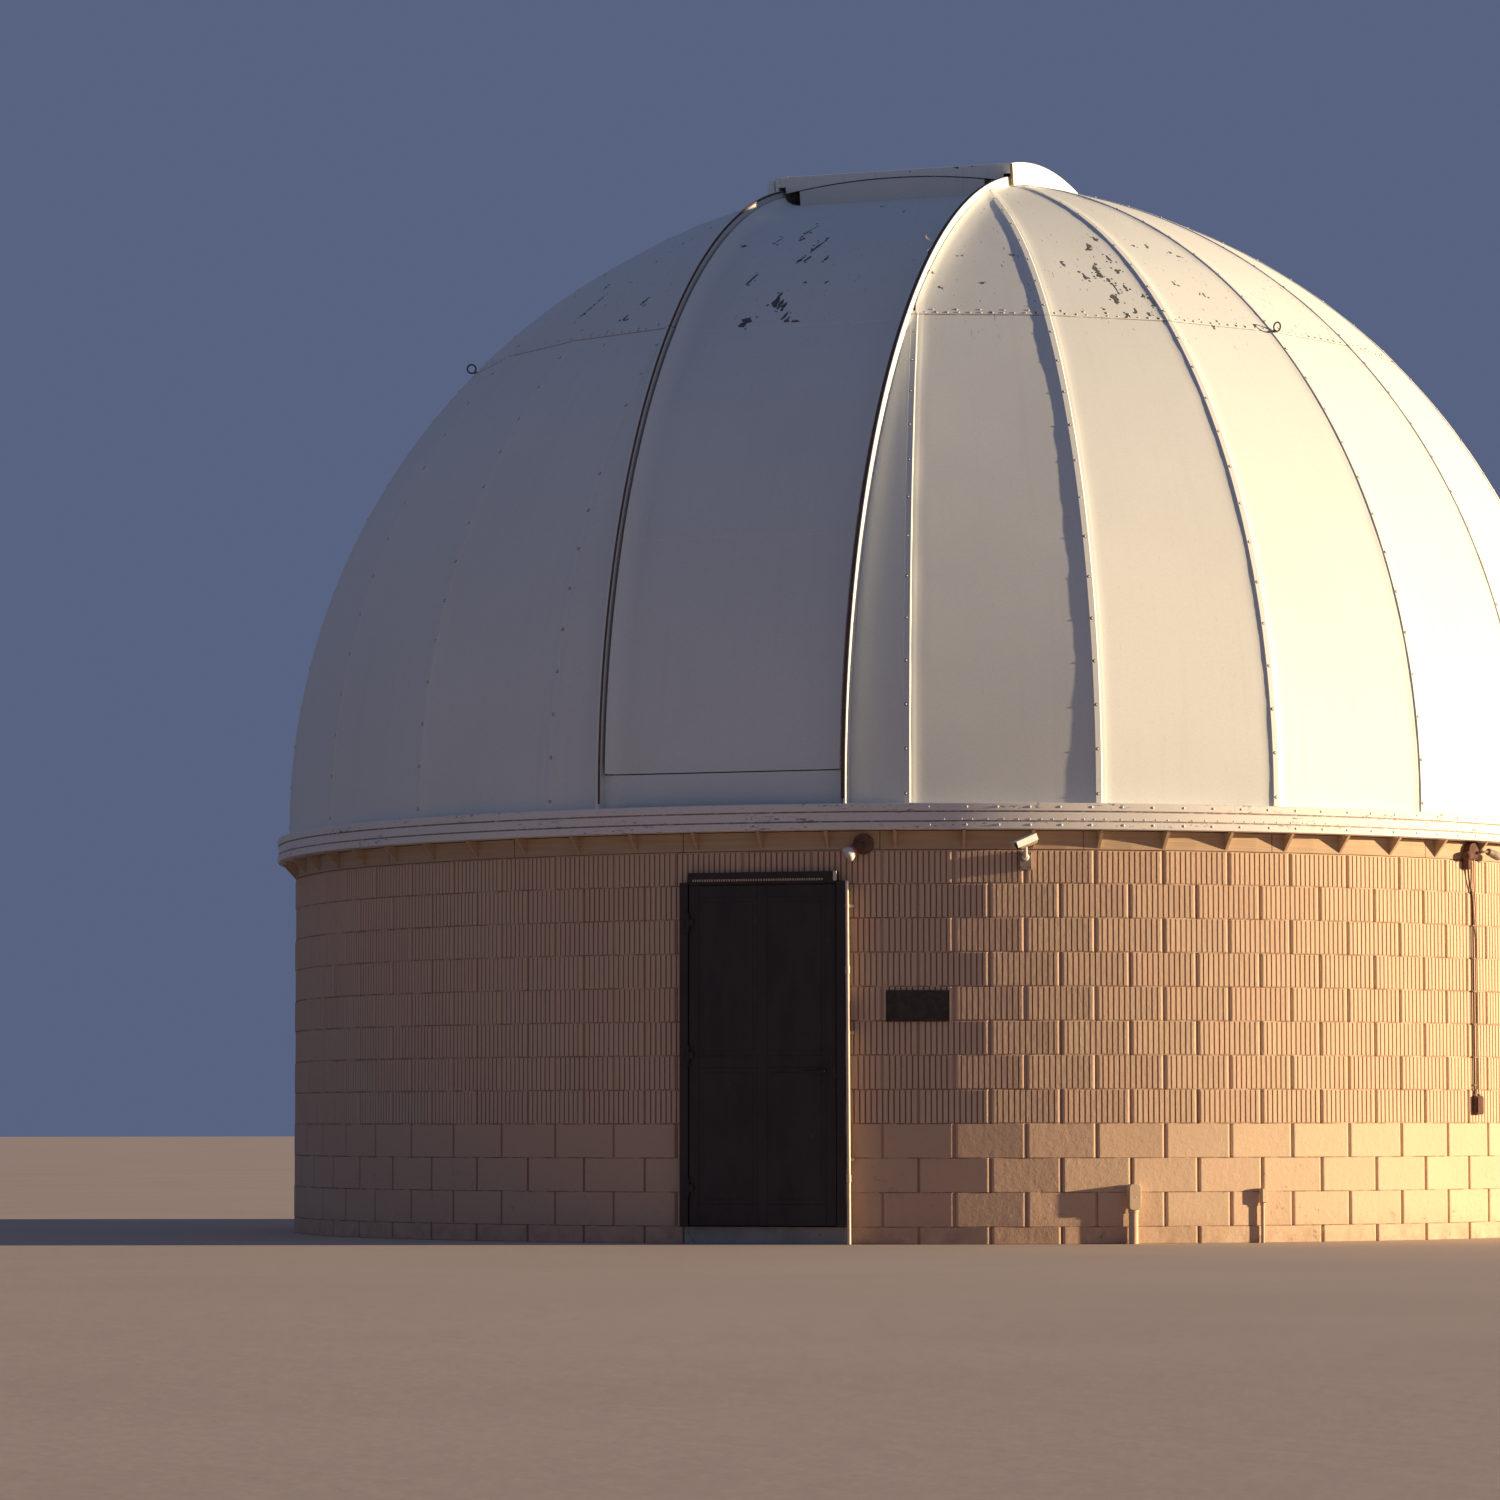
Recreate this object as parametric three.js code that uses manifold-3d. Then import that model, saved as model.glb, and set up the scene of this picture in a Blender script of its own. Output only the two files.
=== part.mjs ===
// Observatory dome: a round block building with a rotating dome, a slit with two shutters and a steel door.
// Millimetres, +Z up. The origin is on the dome's axis, at the foot of the wall. The view from the front
// looks along +Y, and an azimuth is counted from -Y towards +X.
import * as THREE from 'three';
import { mergeVertices } from 'three/addons/utils/BufferGeometryUtils.js';
import Module from 'manifold-3d';

const wasm = await Module();
wasm.setup();

const degree = Math.PI / 180;
const seatGap = 0.3;

// Block wall
const courseHeight = 203.2;
const wallTop = 11.5 * courseHeight;
const blocksAround = 64;
const blockAngle = 360 / blocksAround;
const firstJointAzimuth = -4.49;
const wallCornerRadius = 4310;
const wallInnerRadius = 4120;
const lintelBottom = 10.5 * courseHeight;

// Floor slab
const slabTop = 100;

// Doorway and door, measured across the door's centre line and outward along it
const doorAzimuth = -14;
const openingHalfWidth = 500;
const leafHalfWidth = 455;
const jambInnerHalfWidth = 460;
const jambOuterHalfWidth = 511;
const jambBack = 4240;
const frameBack = 4313;
const frameFront = 4365;
const headerFront = 4358;
const headerBottom = 2137;
const headerTop = 2208;
const jambTop = 2150;
const leafBack = 4315;
const leafFront = 4352;
const leafBottom = 108;
const leafTop = 2131;
const hingeOutward = 4374;
const hingeRadius = 8;
const hingeKnuckle = 40;
const hingeHeights = [330, 1120, 1910];
const hingePlateWidth = 32;
const hingePlateOverlap = 4;
const handlePlateThickness = 6;
const handleBarRadius = 9;
const handleStandoff = 44;
const handleHeight = 1020;

// Eave band on top of the wall, with its gussets and the blocks that carry the dome
const bandOuterRadius = 4322;
const bandInnerRadius = 4130;
const ringBottom = 2451;
const bandTop = ringBottom - 5;
const gussetCount = 67;
const gussetPitch = 360 / gussetCount;
const firstGussetAzimuth = 12.7;
const gussetReach = 95;
const gussetThickness = 18;
const rollerRadius = 4235;

// Base ring of the dome
const ringTop = 2606;
const ringOuterRadius = 4450;
const ringFasciaInnerRadius = 4335;
const ringFlangeInnerRadius = 4165;
const ringFlangeHeight = 20;
const ringStep = 5;

// Dome skin
const domeCentreHeight = 2670;
const skinRadius = 4379;
const skinThickness = 28;
const goreAngle = 15;
const elevationStep = 6;
const battenWidth = 48;
const battenHeight = 20;
const slitAzimuth = -17.44;
const eyeElevation = 44;

// Slit, in the dome's own frame: the slit faces -Y, across is X
const slitStep = 5;
const curbOuterAcross = 795;
const curbInnerAcross = 777;
const curbTopRadius = 4371;
const curbBottomRadius = 4190;
const railInnerAcross = 700;
const railTopRadius = 4229.5;
const channelTopRadius = 4215;
const channelThickness = 30;
const channelStart = -20;

// Lower shutter
const shutterOuterRadius = 4264;
const shutterInnerRadius = 4234;
const shutterHalfWidth = 740;
const shutterTopAngle = 13;
const shutterBottomAngle = 88;
const closureHalfWidth = 642;
const closureTopRadius = 4409;
const plateThickness = 20;

// Upper shutter
const hoodOuterRadius = 4463;
const hoodInnerRadius = 4435;
const hoodHalfWidth = 828;
const hoodFrontAngle = 12.5;
const hoodRearAngle = -24;
const hoodPlateHalfWidth = 772;
const hoodPlateEdgeRadius = 4416;
const skirtInnerAcross = 810;
const skirtBottomRadius = 4310;
const endPlateSideRadius = 4380;
const sideChannelAcross = 892;
const sideChannelInnerAcross = 846;
const sideChannelRadii = [4352, 4440];
const sideChannelWebRadii = [4358, 4378];
const sideChannelSetback = 0.3;
const sideChannelWebSetback = 3;
const hoodRunClearance = 12;
const hoodRunStart = 1060;

const domeFloor = ringTop - domeCentreHeight + seatGap;

const finishes = {
  block: { color: 0xd2ab86, roughness: 0.9, metalness: 0 },
  concrete: { color: 0xa39a8e, roughness: 0.95, metalness: 0 },
  plywood: { color: 0xc89a72, roughness: 0.85, metalness: 0 },
  whitePaint: { color: 0xe9e6dc, roughness: 0.55, metalness: 0 },
  darkSteel: { color: 0x2b211f, roughness: 0.6, metalness: 0.3 },
  galvanised: { color: 0xb0aca4, roughness: 0.45, metalness: 0.8 },
  tanPaint: { color: 0xc9a27c, roughness: 0.8, metalness: 0 },
  plaque: { color: 0x2a2422, roughness: 0.5, metalness: 0.2 },
  housing: { color: 0xe4e1d8, roughness: 0.5, metalness: 0.1 },
};

// A closed mesh as a solid, with its faces turned outward
function solidOf(geometry) {
  const bare = geometry.index ? geometry.toNonIndexed() : geometry.clone();
  bare.deleteAttribute('normal');
  bare.deleteAttribute('uv');
  const merged = mergeVertices(bare, 1e-3);
  const vertProperties = new Float32Array(merged.attributes.position.array);
  const triVerts = new Uint32Array(merged.index.array);
  const kept = [];
  for (let i = 0; i < triVerts.length; i += 3) {
    const [a, b, c] = triVerts.subarray(i, i + 3);
    if (a !== b && b !== c && c !== a) kept.push(a, b, c);
  }
  let volume = 0;
  const corner = (i) => new THREE.Vector3().fromArray(vertProperties, 3 * i);
  for (let i = 0; i < kept.length; i += 3) {
    volume += corner(kept[i]).dot(corner(kept[i + 1]).cross(corner(kept[i + 2])));
  }
  if (volume < 0) {
    for (let i = 0; i < kept.length; i += 3) {
      [kept[i + 1], kept[i + 2]] = [kept[i + 2], kept[i + 1]];
    }
  }
  return new wasm.Manifold(new wasm.Mesh({ numProp: 3, vertProperties, triVerts: new Uint32Array(kept) }));
}

function geometryOf(solid) {
  const mesh = solid.getMesh();
  const geometry = new THREE.BufferGeometry();
  geometry.setAttribute('position', new THREE.BufferAttribute(new Float32Array(mesh.vertProperties), 3));
  geometry.setIndex(Array.from(mesh.triVerts));
  geometry.computeVertexNormals();
  return geometry;
}

function joined(solids) {
  return solids.reduce((sum, solid) => sum.add(solid));
}

function box(x0, x1, y0, y1, z0, z1) {
  const geometry = new THREE.BoxGeometry(x1 - x0, y1 - y0, z1 - z0);
  geometry.translate((x0 + x1) / 2, (y0 + y1) / 2, (z0 + z1) / 2);
  return solidOf(geometry);
}

// A flat outline in X and Y, raised from z0 to z1
function prism(points, z0, z1) {
  const shape = new THREE.Shape(points.map(([x, y]) => new THREE.Vector2(x, y)));
  const geometry = new THREE.ExtrudeGeometry(shape, { depth: z1 - z0, bevelEnabled: false });
  geometry.translate(0, 0, z0);
  return solidOf(geometry);
}

// A round bar between two points
function bar(from, to, radius, sides = 10, endRadius = radius) {
  const start = new THREE.Vector3(...from);
  const end = new THREE.Vector3(...to);
  const geometry = new THREE.CylinderGeometry(endRadius, radius, start.distanceTo(end), sides);
  const direction = end.clone().sub(start).normalize();
  geometry.applyQuaternion(new THREE.Quaternion().setFromUnitVectors(new THREE.Vector3(0, 1, 0), direction));
  const middle = start.add(end).multiplyScalar(0.5);
  geometry.translate(middle.x, middle.y, middle.z);
  return solidOf(geometry);
}

function circlePoint(radius, azimuth) {
  return [radius * Math.sin(azimuth * degree), -radius * Math.cos(azimuth * degree)];
}

// A stretch of a ring with straight facets between the given azimuths
function ringPiece(innerRadius, outerRadius, azimuths, z0, z1) {
  const outer = azimuths.map((azimuth) => circlePoint(outerRadius, azimuth));
  const inner = azimuths.map((azimuth) => circlePoint(innerRadius, azimuth));
  return prism([...outer, ...inner.reverse()], z0, z1);
}

function steps(from, to, count) {
  return Array.from({ length: count + 1 }, (_, i) => from + ((to - from) * i) / count);
}

// Pulls the two ends of a run of azimuths in, for the joint to the next piece
function withJoint(azimuths, radius) {
  const half = (seatGap / 2 / radius) / degree;
  const run = [...azimuths];
  run[0] += half;
  run[run.length - 1] -= half;
  return run;
}

function turned(solid, azimuth) {
  return solid.rotate([0, 0, azimuth]);
}

// Everything taken up by the wall and the eave band, grown by the seat gap
function roundKeepOut() {
  const wallAzimuths = steps(firstJointAzimuth, firstJointAzimuth + 360, blocksAround).slice(0, -1);
  const bandAzimuths = steps(firstGussetAzimuth, firstGussetAzimuth + 360, 2 * gussetCount).slice(0, -1);
  const wallOutline = wallAzimuths.map((a) => circlePoint(wallCornerRadius + seatGap, a));
  const bandOutline = bandAzimuths.map((a) => circlePoint(bandOuterRadius + seatGap, a));
  return prism(wallOutline, -10, wallTop + seatGap).add(prism(bandOutline, wallTop, bandTop + seatGap));
}

const building = new THREE.Group();
const dome = new THREE.Group();
dome.position.z = domeCentreHeight;
dome.rotation.z = slitAzimuth * degree;
const part = new THREE.Group();
part.add(building, dome);

function addNode(group, name, solid, finish) {
  const mesh = new THREE.Mesh(geometryOf(solid), new THREE.MeshStandardMaterial(finishes[finish]));
  mesh.name = name;
  group.add(mesh);
  return mesh;
}

// Block wall in six segments, cut for the doorway, and the course over the door
const wallSegments = [
  ['wall_front_right', -1, 10],
  ['wall_right', 10, 20],
  ['wall_rear_right', 20, 31],
  ['wall_rear_left', 31, 41],
  ['wall_left', 41, 51],
  ['wall_front_left', 51, 61],
];

function wallAzimuths(first, last) {
  return steps(firstJointAzimuth + first * blockAngle, firstJointAzimuth + last * blockAngle, last - first);
}

function addWalls() {
  const half = openingHalfWidth + seatGap;
  const doorway = turned(box(-half, half, -4500, -3900, -10, wallTop + 10), doorAzimuth);
  for (const [name, first, last] of wallSegments) {
    const azimuths = withJoint(wallAzimuths(first, last), wallCornerRadius);
    const segment = ringPiece(wallInnerRadius, wallCornerRadius, azimuths, 0, wallTop);
    addNode(building, name, segment.subtract(doorway), 'block');
  }
  const lintelSpace = box(-openingHalfWidth, openingHalfWidth, -4500, -3900, lintelBottom, wallTop);
  const lintelRing = ringPiece(wallInnerRadius, wallCornerRadius, wallAzimuths(-4, 1), lintelBottom, wallTop);
  addNode(building, 'wall_over_door', lintelRing.intersect(turned(lintelSpace, doorAzimuth)), 'block');
}

// Floor slab with its sill in the doorway
function addSlab() {
  const azimuths = steps(firstJointAzimuth, firstJointAzimuth + 360, blocksAround).slice(0, -1);
  const disc = prism(azimuths.map((a) => circlePoint(wallInnerRadius - 2 * seatGap, a)), 0, slabTop);
  const sill = box(-openingHalfWidth, openingHalfWidth, -4300, -4000, 0, slabTop);
  addNode(building, 'floor_slab', disc.add(turned(sill, doorAzimuth)), 'concrete');
}

// Eave band in four segments, each with its gussets and roller blocks
function gusset(azimuth) {
  const outline = new THREE.Shape();
  outline.moveTo(bandOuterRadius - 10, wallTop + 6);
  outline.lineTo(bandOuterRadius, wallTop + 6);
  outline.lineTo(bandOuterRadius + gussetReach, bandTop);
  outline.lineTo(bandOuterRadius - 10, bandTop);
  outline.closePath();
  const plate = new THREE.ExtrudeGeometry(outline, { depth: gussetThickness, bevelEnabled: false });
  plate.translate(0, 0, -gussetThickness / 2);
  plate.rotateX(90 * degree);
  plate.rotateZ((azimuth - 90) * degree);
  return solidOf(plate);
}

function rollerBlock(azimuth) {
  const top = ringBottom - seatGap;
  return turned(box(-60, 60, -rollerRadius - 45, -rollerRadius + 45, bandTop - 10, top), azimuth);
}

function addEaveBand() {
  const names = ['eave_band_right', 'eave_band_rear', 'eave_band_left', 'eave_band_front'];
  const firsts = [0, 17, 34, 51, gussetCount];
  names.forEach((name, quarter) => {
    const first = firsts[quarter];
    const count = firsts[quarter + 1] - first;
    const start = firstGussetAzimuth + (first - 0.5) * gussetPitch;
    const end = start + count * gussetPitch;
    const azimuths = withJoint(steps(start, end, 2 * count), bandOuterRadius);
    const pieces = [ringPiece(bandInnerRadius, bandOuterRadius, azimuths, wallTop + seatGap, bandTop)];
    for (let i = 0; i < count; i += 1) {
      pieces.push(gusset(firstGussetAzimuth + (first + i) * gussetPitch));
    }
    for (const share of [1 / 6, 1 / 2, 5 / 6]) {
      pieces.push(rollerBlock(start + share * (end - start)));
    }
    addNode(building, name, joined(pieces), 'plywood');
  });
}

// Door frame, leaf and handle, in a frame whose -Y is the door's outward direction
const door = new THREE.Group();
door.rotation.z = doorAzimuth * degree;
part.add(door);

function hingeAcross() {
  return -(leafHalfWidth + jambInnerHalfWidth) / 2;
}

// One hinge knuckle with the leaf plate that fastens it
function knuckle(z0, z1, plateX0, plateX1, plateBack) {
  const across = hingeAcross();
  const barrel = bar([across, -hingeOutward, z0], [across, -hingeOutward, z1], hingeRadius, 12);
  const plate = box(plateX0, plateX1, -hingeOutward, -plateBack, z0, z1);
  return barrel.add(plate);
}

function addDoor() {
  const frame = [];
  for (const side of [-1, 1]) {
    const inner = [side * jambInnerHalfWidth, side * openingHalfWidth].sort((a, b) => a - b);
    const outer = [side * jambInnerHalfWidth, side * jambOuterHalfWidth].sort((a, b) => a - b);
    frame.push(box(...inner, -frameFront, -jambBack, slabTop + seatGap, lintelBottom - seatGap));
    frame.push(box(...outer, -frameFront, -frameBack, slabTop + seatGap, jambTop));
  }
  const headerHalfWidth = jambInnerHalfWidth + 2;
  frame.push(box(-headerHalfWidth, headerHalfWidth, -headerFront, -frameBack, headerBottom, headerTop));
  const leaf = [box(-leafHalfWidth, leafHalfWidth, -leafFront, -leafBack, leafBottom, leafTop)];
  const across = hingeAcross();
  for (const height of hingeHeights) {
    const low = height - hingeKnuckle / 2;
    const high = height + hingeKnuckle / 2;
    leaf.push(knuckle(low, high, across, across + hingePlateWidth, leafFront - hingePlateOverlap));
    for (const [z0, z1] of [[low - hingeKnuckle, low - seatGap], [high + seatGap, high + hingeKnuckle]]) {
      frame.push(knuckle(z0, z1, across - hingePlateWidth, across, frameFront - hingePlateOverlap));
    }
  }
  addNode(door, 'door_frame', joined(frame), 'darkSteel');
  addNode(door, 'door_leaf', joined(leaf), 'darkSteel');
  const plateTop = leafFront + seatGap;
  const lever = plateTop + handleStandoff;
  const plateBack = plateTop + handlePlateThickness;
  const handle = joined([
    box(370, 410, -plateBack, -plateTop, 960, 1160),
    bar([390, -(plateBack - 2), handleHeight], [390, -(lever + 6), handleHeight], handleBarRadius),
    bar([390, -lever, handleHeight], [275, -lever, handleHeight], handleBarRadius),
  ]);
  addNode(door, 'door_handle', handle, 'darkSteel');
}

// Fixtures on the wall, each in a frame whose -Y points outward at its azimuth. Solids that reach into the
// wall are cut back to its face
const intoWall = -4200;

function addOnWall(name, azimuth, solids, finish) {
  addNode(building, name, turned(joined(solids), azimuth).subtract(roundKeepOut()), finish);
}

function addDoorConduit() {
  const radius = 10.5;
  const across = jambOuterHalfWidth + radius + 0.5;
  const outward = 4352;
  const conduit = [bar([across, -outward, 0], [across, -outward, jambTop], radius)];
  for (const height of [500, 1250, 2000]) {
    conduit.push(box(across - 8, across + 22, -outward, intoWall, height - 12, height + 12));
  }
  addOnWall('door_conduit', doorAzimuth, conduit, 'galvanised');
}

function addPlaque() {
  const plate = box(-190, 190, -4338, intoWall, 1314, 1500);
  addOnWall('wall_plaque', firstJointAzimuth + blockAngle / 2, [plate], 'plaque');
}

function addCamera() {
  const camera = [
    box(-26, 50, -4365, intoWall, 2212, 2322),
    bar([6, -4360, 2300], [0, -4475, 2362], 11),
    bar([55, -4462, 2395], [-75, -4516, 2340], 34, 10),
  ];
  addOnWall('wall_camera', 6.62, camera, 'housing');
}

function addLeftLamp() {
  const boxHeight = 2368;
  const lamp = [
    bar([0, intoWall, boxHeight], [0, -4352, boxHeight], 62, 16),
    bar([0, -4348, boxHeight], [-18, -4385, 2360], 16),
    bar([-8, -4376, 2364], [-44, -4396, 2336], 30, 10, 46),
    bar([-44, -4396, 2336], [-84, -4412, 2298], 46, 10, 30),
  ];
  addOnWall('lamp_left', -5.94, lamp, 'galvanised');
}

// Round box with a lamp on an arm that passes under the gusset beside it, and a smaller box under it
function addLampPair() {
  const pair = [
    bar([0, intoWall, 2391], [0, -4368, 2391], 55, 16),
    box(-72, -12, -4362, intoWall, 2275, 2350),
    bar([-30, -4352, 2366], [-106, -4376, 2352], 28, 10, 24),
    bar([20, -4360, 2374], [50, -4402, 2386], 8),
    bar([46, -4402, 2386], [104, -4402, 2388], 8),
    bar([92, -4400, 2390], [212, -4400, 2360], 26, 12),
  ];
  addOnWall('lamp_pair', 49.4, pair, 'galvanised');
}

function addOutlet() {
  const across = -20;
  const cableTop = 2275 - seatGap;
  const outlet = [
    bar([across, -4333, 850], [across, -4333, cableTop], 8),
    box(-37, 37, -4362, intoWall, 763, 877),
    box(across - 18, across + 18, -4340, intoWall, 1390, 1414),
    box(across - 18, across + 18, -4340, intoWall, 2010, 2034),
  ];
  addOnWall('outlet_cable', 50, outlet, 'galvanised');
}

// Conduit that rises from the ground close to the wall and ends in an elbow body, which enters the wall
const elbows = [
  {
    name: 'outlet_post_oval', azimuth: 15.2, pipeRadius: 28, pipeOut: 4361.5,
    halfWidth: 36.5, back: 4335, front: 4404, bottom: 199, top: 353, nippleRadius: 26, nippleHeight: 315,
  },
  {
    name: 'outlet_post_square', azimuth: 26.3, pipeRadius: 12.5, pipeOut: 4347,
    halfWidth: 18, back: 4333, front: 4374, bottom: 236, top: 326, nippleRadius: 11, nippleHeight: 300,
  },
];

function addElbow({ name, azimuth, pipeRadius, pipeOut, halfWidth, back, front, bottom, top, ...nipple }) {
  const height = nipple.nippleHeight;
  const elbow = [
    bar([0, -pipeOut, 0], [0, -pipeOut, bottom + 10], pipeRadius, 16),
    box(-halfWidth, halfWidth, -front, -back, bottom, top),
    bar([0, -back - 5, height], [0, intoWall, height], nipple.nippleRadius, 12),
  ];
  addOnWall(name, azimuth, elbow, 'tanPaint');
}

// Base ring of the dome: four quarters of an angle section
function addBaseRing() {
  const quarters = ['front_right', 'rear_right', 'rear_left', 'front_left'];
  quarters.forEach((corner, quarter) => {
    const azimuths = withJoint(steps(90 * quarter, 90 * (quarter + 1), 90 / ringStep), ringOuterRadius);
    const flangeTop = ringBottom + ringFlangeHeight;
    const flange = ringPiece(ringFlangeInnerRadius, ringOuterRadius, azimuths, ringBottom, flangeTop);
    const fascia = ringPiece(ringFasciaInnerRadius, ringOuterRadius, azimuths, ringBottom, ringTop);
    addNode(building, `base_ring_${corner}`, flange.add(fascia), 'whitePaint');
  });
}

// A plate bent in the slit's plane, between two radii and two angles from the zenith, positive to the front
function arcPlate(innerRadius, outerRadius, fromAngle, toAngle, across0, across1, step = slitStep) {
  const angles = [fromAngle];
  for (let angle = Math.ceil(fromAngle / step) * step; angle < toAngle; angle += step) {
    if (angle > fromAngle) angles.push(angle);
  }
  angles.push(toAngle);
  const point = (radius, angle) => new THREE.Vector2(
    radius * Math.sin(angle * degree),
    radius * Math.cos(angle * degree),
  );
  const outline = [
    ...angles.map((angle) => point(outerRadius, angle)),
    ...angles.slice().reverse().map((angle) => point(innerRadius, angle)),
  ];
  const plate = new THREE.ExtrudeGeometry(new THREE.Shape(outline), {
    depth: across1 - across0,
    bevelEnabled: false,
  });
  const axes = new THREE.Matrix4().makeBasis(
    new THREE.Vector3(0, -1, 0),
    new THREE.Vector3(0, 0, 1),
    new THREE.Vector3(-1, 0, 0),
  );
  axes.setPosition(across1, 0, 0);
  plate.applyMatrix4(axes);
  return solidOf(plate);
}

// A plate that stands square to the slit's arc, with a top or bottom edge rounded like the dome
function crossPlate(halfWidth, lowerEdge, upperEdge, angle, thickness) {
  const across = steps(-halfWidth, halfWidth, 8);
  const outline = [
    ...across.map((x) => new THREE.Vector2(x, lowerEdge(x))),
    ...across.slice().reverse().map((x) => new THREE.Vector2(x, upperEdge(x))),
  ];
  const settings = { depth: thickness, bevelEnabled: false };
  const plate = new THREE.ExtrudeGeometry(new THREE.Shape(outline), settings);
  plate.rotateX(90 * degree);
  plate.rotateX(angle * degree);
  return solidOf(plate);
}

function roundEdge(radius) {
  return (x) => Math.sqrt(radius * radius - x * x);
}

// A small block under a shutter that runs on a rail or curb
function guideBlock(across0, across1, bottomRadius, topRadius, angle) {
  return box(across0, across1, -30, 30, bottomRadius, topRadius).rotate([angle, 0, 0]);
}

function aboveFloor(solid) {
  return solid.subtract(box(-6000, 6000, -6000, 6000, -1500, domeFloor));
}

// Dome skin: twelve panels of two gores. A gore is straight across between its seams, which carry battens
function skinShell() {
  const foot = Math.asin(domeFloor / skinRadius) / degree;
  const elevations = [foot - 1, ...steps(0, 90, 90 / elevationStep)];
  const arc = (radius) => elevations.map((elevation) => new THREE.Vector2(
    Math.max(0, radius * Math.cos(elevation * degree)),
    radius * Math.sin(elevation * degree),
  ));
  const outer = arc(skinRadius);
  const inner = arc(skinRadius - skinThickness);
  outer[outer.length - 1].x = 0;
  inner[inner.length - 1].x = 0;
  const closed = [...inner.slice().reverse(), ...outer];
  const shell = new THREE.LatheGeometry(closed, 360 / goreAngle);
  shell.rotateX(90 * degree);
  return aboveFloor(solidOf(shell));
}

function batten(azimuth) {
  const foot = Math.asin(domeFloor / skinRadius) / degree;
  const low = skinRadius - skinThickness / 2;
  const half = battenWidth / 2;
  const plate = arcPlate(low, skinRadius + battenHeight, 0, 90 - foot + 1, -half, half, elevationStep);
  return turned(plate, azimuth);
}

// The strip beside the curbs that the upper shutter's skirts run through
function hoodRun() {
  const left = sideChannelAcross + hoodRunClearance;
  return box(-left, hoodHalfWidth + hoodRunClearance, -hoodRunStart, 6000, 0, 6000);
}

// The space between two seams, each moved to the edge of its batten
function goreSpace(first, last) {
  const reach = 7000;
  const line = (azimuth, side) => {
    const direction = new THREE.Vector2(Math.sin(azimuth * degree), -Math.cos(azimuth * degree));
    const across = new THREE.Vector2(Math.cos(azimuth * degree), Math.sin(azimuth * degree));
    const start = across.multiplyScalar(-battenWidth / 2 + (side * seatGap) / 2);
    return { direction, start };
  };
  const low = line(first, 1);
  const high = line(last, -1);
  const gap = high.start.clone().sub(low.start);
  const travel = gap.cross(high.direction) / low.direction.cross(high.direction);
  const apex = low.start.clone().addScaledVector(low.direction, travel);
  const far = [low, high].map(({ direction, start }) => start.clone().addScaledVector(direction, reach));
  return prism([apex, far[0], far[1]].map((p) => [p.x, p.y]), -200, 5000);
}

function eyeLoop(azimuth) {
  const loop = new THREE.TorusGeometry(36, 7, 6, 12);
  loop.rotateY(90 * degree);
  loop.translate(0, 0, skinRadius + battenHeight + 40);
  const stem = bar([0, 0, skinRadius - 10], [0, 0, skinRadius + battenHeight + 8], 8, 6);
  const tilt = 90 - eyeElevation;
  return turned(solidOf(loop).add(stem).rotate([tilt, 0, 0]), azimuth);
}

function addSkin() {
  const shell = skinShell();
  const clear = curbOuterAcross + seatGap;
  const slit = box(-clear, clear, -6000, 6000, -200, 6000);
  const run = hoodRun();
  const sides = ['front', 'middle_front', 'side_front', 'side_rear', 'middle_rear', 'rear'];
  for (let i = 0; i < 12; i += 1) {
    const first = 2 * goreAngle * i;
    const last = first + 2 * goreAngle;
    const onRight = i < 6;
    const pieces = [shell.intersect(goreSpace(first, last))];
    for (const azimuth of [first, first + goreAngle]) {
      if (azimuth % 180 !== 0) pieces.push(aboveFloor(batten(azimuth)).subtract(run));
    }
    for (const azimuth of [60, 120, 240, 300]) {
      if (azimuth >= first && azimuth < last) pieces.push(eyeLoop(azimuth));
    }
    const position = onRight ? sides[i] : sides[11 - i];
    const name = `dome_skin_${onRight ? 'right' : 'left'}_${position}`;
    addNode(dome, name, joined(pieces).subtract(slit), 'whitePaint');
  }
}

// Slit curbs with their inner rails, the channel behind the slit, and the sill at its foot
function addSlitFrame() {
  for (const side of [-1, 1]) {
    const plateAcross = [side * curbInnerAcross, side * curbOuterAcross].sort((a, b) => a - b);
    const railAcross = [side * railInnerAcross, side * (curbInnerAcross + 5)].sort((a, b) => a - b);
    const plate = arcPlate(curbBottomRadius, curbTopRadius, -95, 95, ...plateAcross);
    const rail = arcPlate(curbBottomRadius, railTopRadius, -95, 95, ...railAcross);
    addNode(dome, side < 0 ? 'slit_curb_left' : 'slit_curb_right', aboveFloor(plate.add(rail)), 'whitePaint');
  }
  const channelHalfWidth = railInnerAcross - seatGap;
  const channelBottom = channelTopRadius - channelThickness;
  const channel = arcPlate(
    channelBottom, channelTopRadius, -95, channelStart, -channelHalfWidth, channelHalfWidth,
  );
  addNode(dome, 'rear_channel', aboveFloor(channel), 'whitePaint');
  const sillHalfWidth = curbInnerAcross - seatGap;
  const sillTop = shutterBottomAngle + 0.1;
  const sill = arcPlate(shutterInnerRadius, shutterOuterRadius, sillTop, 95, -sillHalfWidth, sillHalfWidth);
  addNode(dome, 'slit_sill', aboveFloor(sill), 'whitePaint');
}

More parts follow.
